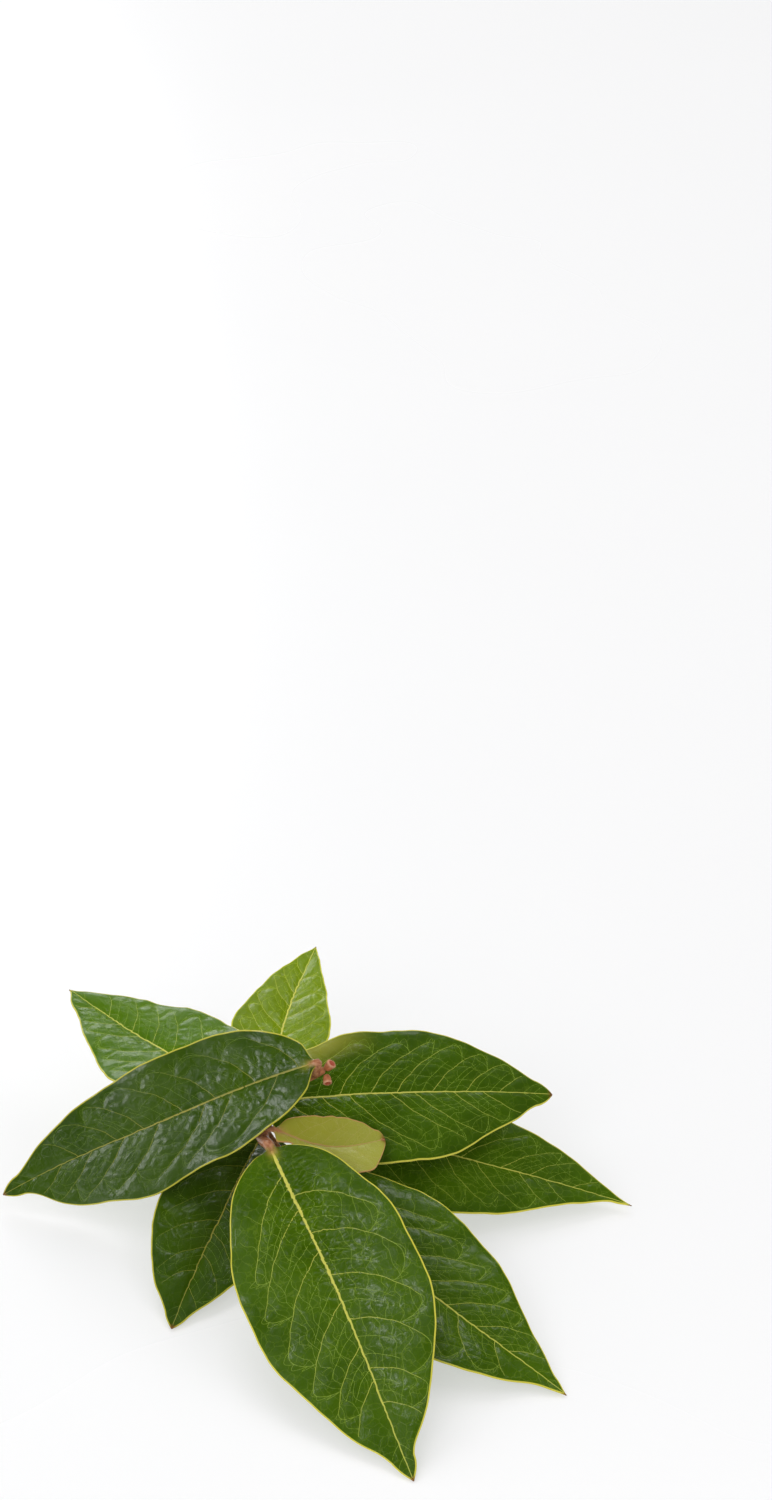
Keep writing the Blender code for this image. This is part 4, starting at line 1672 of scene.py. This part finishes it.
@dataclass
class Studio:
    """Pale floor, soft light and the camera."""

    floor: FloorFinish = FloorFinish()
    half: float = 6.0
    sky: float = 0.52
    lamps: tuple[Softbox, ...] = (
        Softbox("back_light", 104, 43, 1.6, 0.9, 8.2),
        Softbox("front_light", -112, 36, 1.7, 1.0, 7.4),
        Softbox("left_light", 172, 38, 1.8, 1.0, 4.4),
        Softbox("right_light", 12, 46, 1.8, 1.0, 4.6),
        Softbox("low_back_glint", 104, 20, 1.6, 0.45, 2.0, True),
        Softbox("low_left_glint", -158, 22, 1.6, 0.45, 4.6, True),
        Softbox("high_left_glint", 164, 57, 1.6, 0.16, 0.9, True),
        Softbox("top_left_glint", 152, 70, 1.6, 0.12, 0.25, True),
        Softbox("high_back_glint", 74, 52, 1.6, 0.25, 0.9, True),
    )
    eye: tuple[float, float, float] = (0.0137, -0.5673, 0.43546)
    tilt: float = 60.5
    lens: float = 85.0
    film: float = 36.0
    nearest: float = 0.01

    def build(self) -> None:
        """Set the studio up round the sprig."""
        mesh = bpy.data.meshes.new("floor")
        h = self.half
        mesh.from_pydata([(-h, -h, 0), (h, -h, 0), (h, h, 0), (-h, h, 0)], [], [(0, 1, 2, 3)])
        mesh.materials.append(self.floor.build())
        plain_object("floor", mesh)
        for lamp in self.lamps:
            lamp.build()
        world = bpy.data.worlds.new("studio")
        world.use_nodes = True
        sky = world.node_tree.nodes["Background"]
        sky.inputs["Color"].default_value = (1.0, 1.0, 1.0, 1.0)
        sky.inputs["Strength"].default_value = self.sky
        world.cycles_visibility.glossy = False
        scene = bpy.context.scene
        scene.world = world
        scene.view_settings.view_transform = "Standard"
        camera = bpy.data.cameras.new("camera")
        camera.lens, camera.sensor_width, camera.sensor_fit = self.lens, self.film, "AUTO"
        camera.clip_start = self.nearest
        thing = bpy.data.objects.new("camera", camera)
        thing.location = self.eye
        thing.rotation_euler = (math.radians(self.tilt), 0.0, 0.0)
        scene.collection.objects.link(thing)
        scene.camera = thing


# ---------------------------------------------------------------- the sprig
def attach(piece: bpy.types.Object, node: str) -> None:
    """Let a finished piece stand for its CAD node and report it.

    Args:
        piece: the finished object.
        node: the CAD node.
    """
    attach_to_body(piece, "root")
    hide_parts(node)
    low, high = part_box(node)
    spots = np.array([v.co for v in piece.data.vertices])
    box = np.stack((spots.min(0), spots.max(0)))
    gap = np.abs(box - np.array((low, high))).max()
    triangles = sum(len(face.vertices) - 2 for face in piece.data.polygons)
    log.info("%s: %d triangles, box within %.2f mm of %s", piece.name, triangles, gap / MM, node)


def leaf_forms() -> dict[str, LeafForm]:
    """Shape the nine leaves.

    Returns:
        Their forms by CAD node.
    """
    return {
        "leaf_front": LeafForm(
            (-9.0, 2.8, 23.0), 80.5, 35.9, -68.7, -0.3, 1.5, -14.0, 4.5, 15.4, 3.4, 6.5, 0.3,
            3.4, 0.4, 0.63, (-1.2, -0.9, 0.6, -0.4, -1.6), (-0.9, 0.1, 1.1, 0.1, -1.0), 0.645,
            1.05, neck=1.4, seed=11),
        "leaf_top_left": LeafForm(
            (0.1, 9.5, 38.75), 73.3, 25.7, -195.5, 23.7, 5.4, -26.7, 4.0, -42.7, -19.7, 1.6,
            0.3, 3.2, 0.41, 0.58, (-1.2, -1.2, 1.5, 1.6, -1.4), (0.4, -0.6, -0.7, -0.8, -1.0),
            0.975, 0.8, arch=0.15, seed=12),
        "leaf_back_left": LeafForm(
            (-17.5, 18.4, 26.9), 53.5, 27.5, -228.5, 0.5, 0.5, -8.0, -9.5, -8.0, 3.5, 4.0, 0.3,
            3.0, 0.36, 0.67, (0.0, 0.4, -0.7, -0.4, 0.7), (0.9, -0.3, -0.4, 0.2, 0.5), 0.5, 0.9,
            seed=13),
        "leaf_back": LeafForm(
            (-9.6, 22.0, 23.0), 49.0, 20.0, 84.0, -8.0, 2.5, 5.5, 1.5, 1.0, 0.0, 6.0, 0.3, 2.6,
            0.39, 0.7, (0.0, 0.6, -0.1, -0.1, 0.4), (0.0, 0.1, -0.7, -0.6, 0.0), 0.455, 0.85,
            seed=14),
        "leaf_right_top": LeafForm(
            (-10.9, 13.9, 26.0), 60.4, 31.6, 16.2, -8.1, -1.0, -2.6, 7.8, 22.9, 4.0, -1.4, 0.3,
            3.0, 0.37, 0.46, (-2.3, -0.9, 0.8, 0.0, -0.8), (-2.0, 0.3, 0.8, -0.8, -1.0), 0.59,
            0.9, neck=1.0, seed=15),
        "leaf_right_low": LeafForm(
            (-3.1, 23.0, 15.5), 69.0, 30.5, -5.5, -6.5, -2.5, -9.0, 5.5, 17.5, 1.5, 3.0, 0.3,
            3.0, 0.36, 0.73, (0.0, 0.0, -0.6, 0.6, 0.0), (0.0, 0.5, -0.2, -0.9, -0.7), 0.41,
            0.9, seed=16),
        "leaf_front_right": LeafForm(
            (-3.5, 3.0, 16.6), 72.5, 34.5, -45.5, 4.5, -4.5, -11.0, 3.5, 4.0, 0.5, 2.5, 0.3,
            3.2, 0.39, 0.72, (-0.2, -0.1, 0.4, -0.8, -0.5), (0.0, 0.0, -0.1, 0.5, -0.7), 0.575,
            0.9, seed=17),
        "leaf_front_left": LeafForm(
            (-11.2, 29.2, 8.1), 57.8, 26.4, -109.3, 5.1, 1.2, -2.5, 9.8, -8.0, 0.0, 6.3, 0.3,
            2.4, 0.4, 0.57, (-1.0, -0.1, 0.5, -0.2, -0.6), (-1.4, -0.2, 0.2, 0.1, -0.6), 0.27,
            0.85, seed=18),
        "young_leaf": LeafForm(
            (-8.5, 6.66, 24.78), 23.15, 13.6, -12.3, 28.0, -9.4, -19.0, -23.1, 23.8, 3.5, 13.0,
            0.1, 1.5, 0.51, 0.6, (-0.3, -0.6, -0.5, -0.4, -0.6), (-3.4, -0.5, 0.9, 1.5, 0.0),
            0.685, 0.56, arch=0.1, crinkle=0.03, neck=1.6, seed=19),
    }


def build_leaves(twig: Twig) -> None:
    """Build the nine leaves.

    Args:
        twig: the twig that they grow from.
    """
    forms, shape = leaf_forms(), BladeShape()
    looks = {Tone.DARK: dict(net=0.08, veins=0.02), Tone.MILD: dict(net=0.12, fade=0.34),
             Tone.LIGHT: dict(net=0.08, veins=0.03), Tone.BRIGHT: dict(net=0.12),
             Tone.YOUNG: dict(net=0.06, veins=0.04)}
    skins = {tone: LeafFinish(f"leaf_{tone.name.lower()}", tone, **looks.get(tone, {})).build()
             for tone in Tone}
    middles = {Tone.DARK: "b8a842", Tone.YOUNG: "b98a4c"}
    ribs = {tone: RibFinish(f"ribs_{tone.name.lower()}", tone,
                            middles.get(tone, RibFinish.thick)).build() for tone in Tone}
    rows = (
        ("leaf_front", "leaf_green", Tone.GREEN,
         dict(pairs=6, open_left=68, open_right=44, rib=1.0, pucker=1.7)),
        ("leaf_top_left", "leaf_dark", Tone.DARK,
         dict(pairs=7, rib=0.28, pucker=0.45, pebble=0.20, quilt=0.08, fineness=0.7)),
        ("leaf_back_left", "leaf_light", Tone.LIGHT,
         dict(pairs=6, rib=0.5, fineness=0.7, pebble=0.2)),
        # Painted light: the back leaf's brightened greens stand in for the light shining through it
        # from behind.
        ("leaf_back", "leaf_bright", Tone.BRIGHT, dict(pairs=6, rib=0.6, fineness=0.8)),
        ("leaf_right_top", "leaf_green", Tone.MILD,
         dict(pairs=7, open_left=56, open_right=50, rib=0.6, fineness=0.85)),
        ("leaf_right_low", "leaf_green", Tone.GREEN, dict(pairs=7, rib=0.5, fineness=0.7)),
        ("leaf_front_right", "leaf_green", Tone.GREEN, dict(pairs=7, rib=0.65, fineness=0.8)),
        ("leaf_front_left", "leaf_dark", Tone.DARK,
         dict(pairs=6, rib=0.4, fineness=0.7, pebble=0.2)),
        ("young_leaf", "young_olive", Tone.YOUNG,
         dict(pairs=4, rib=0.8, fineness=0.45, quilt=0.05, groove=0.02, pucker=0.05, wander=0.1,
              pebble=0.02, step=0.25, knob=0.50)),
    )
    for node, slot, tone, look in rows:
        LeafPiece(node + "_blade", node, slot, forms[node], skins[tone], ribs[tone],
                  **look).build(shape, twig)


def main() -> None:
    """Build the sprig and the studio."""
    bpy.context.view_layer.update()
    log.info("frame of %d nodes", len(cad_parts))
    twig = Twig(BarkFinish("bark").build())
    twig.build()
    bud_skin = BudFinish("bud_skin").build()
    Bud("tip_bud_cup", "tip_bud", bud_skin, (2.7, 10.9, 37.2), (0.60, -0.10, 0.79), 1.9, 0.90,
        3).build()
    Bud("side_bud_cup", "side_bud", bud_skin, (2.2, 8.9, 35.0), (0.15, -0.80, -0.45), 1.8, 0.80,
        5).build()
    build_leaves(twig)
    Studio().build()
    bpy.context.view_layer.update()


if __name__ == "__main__":
    main()
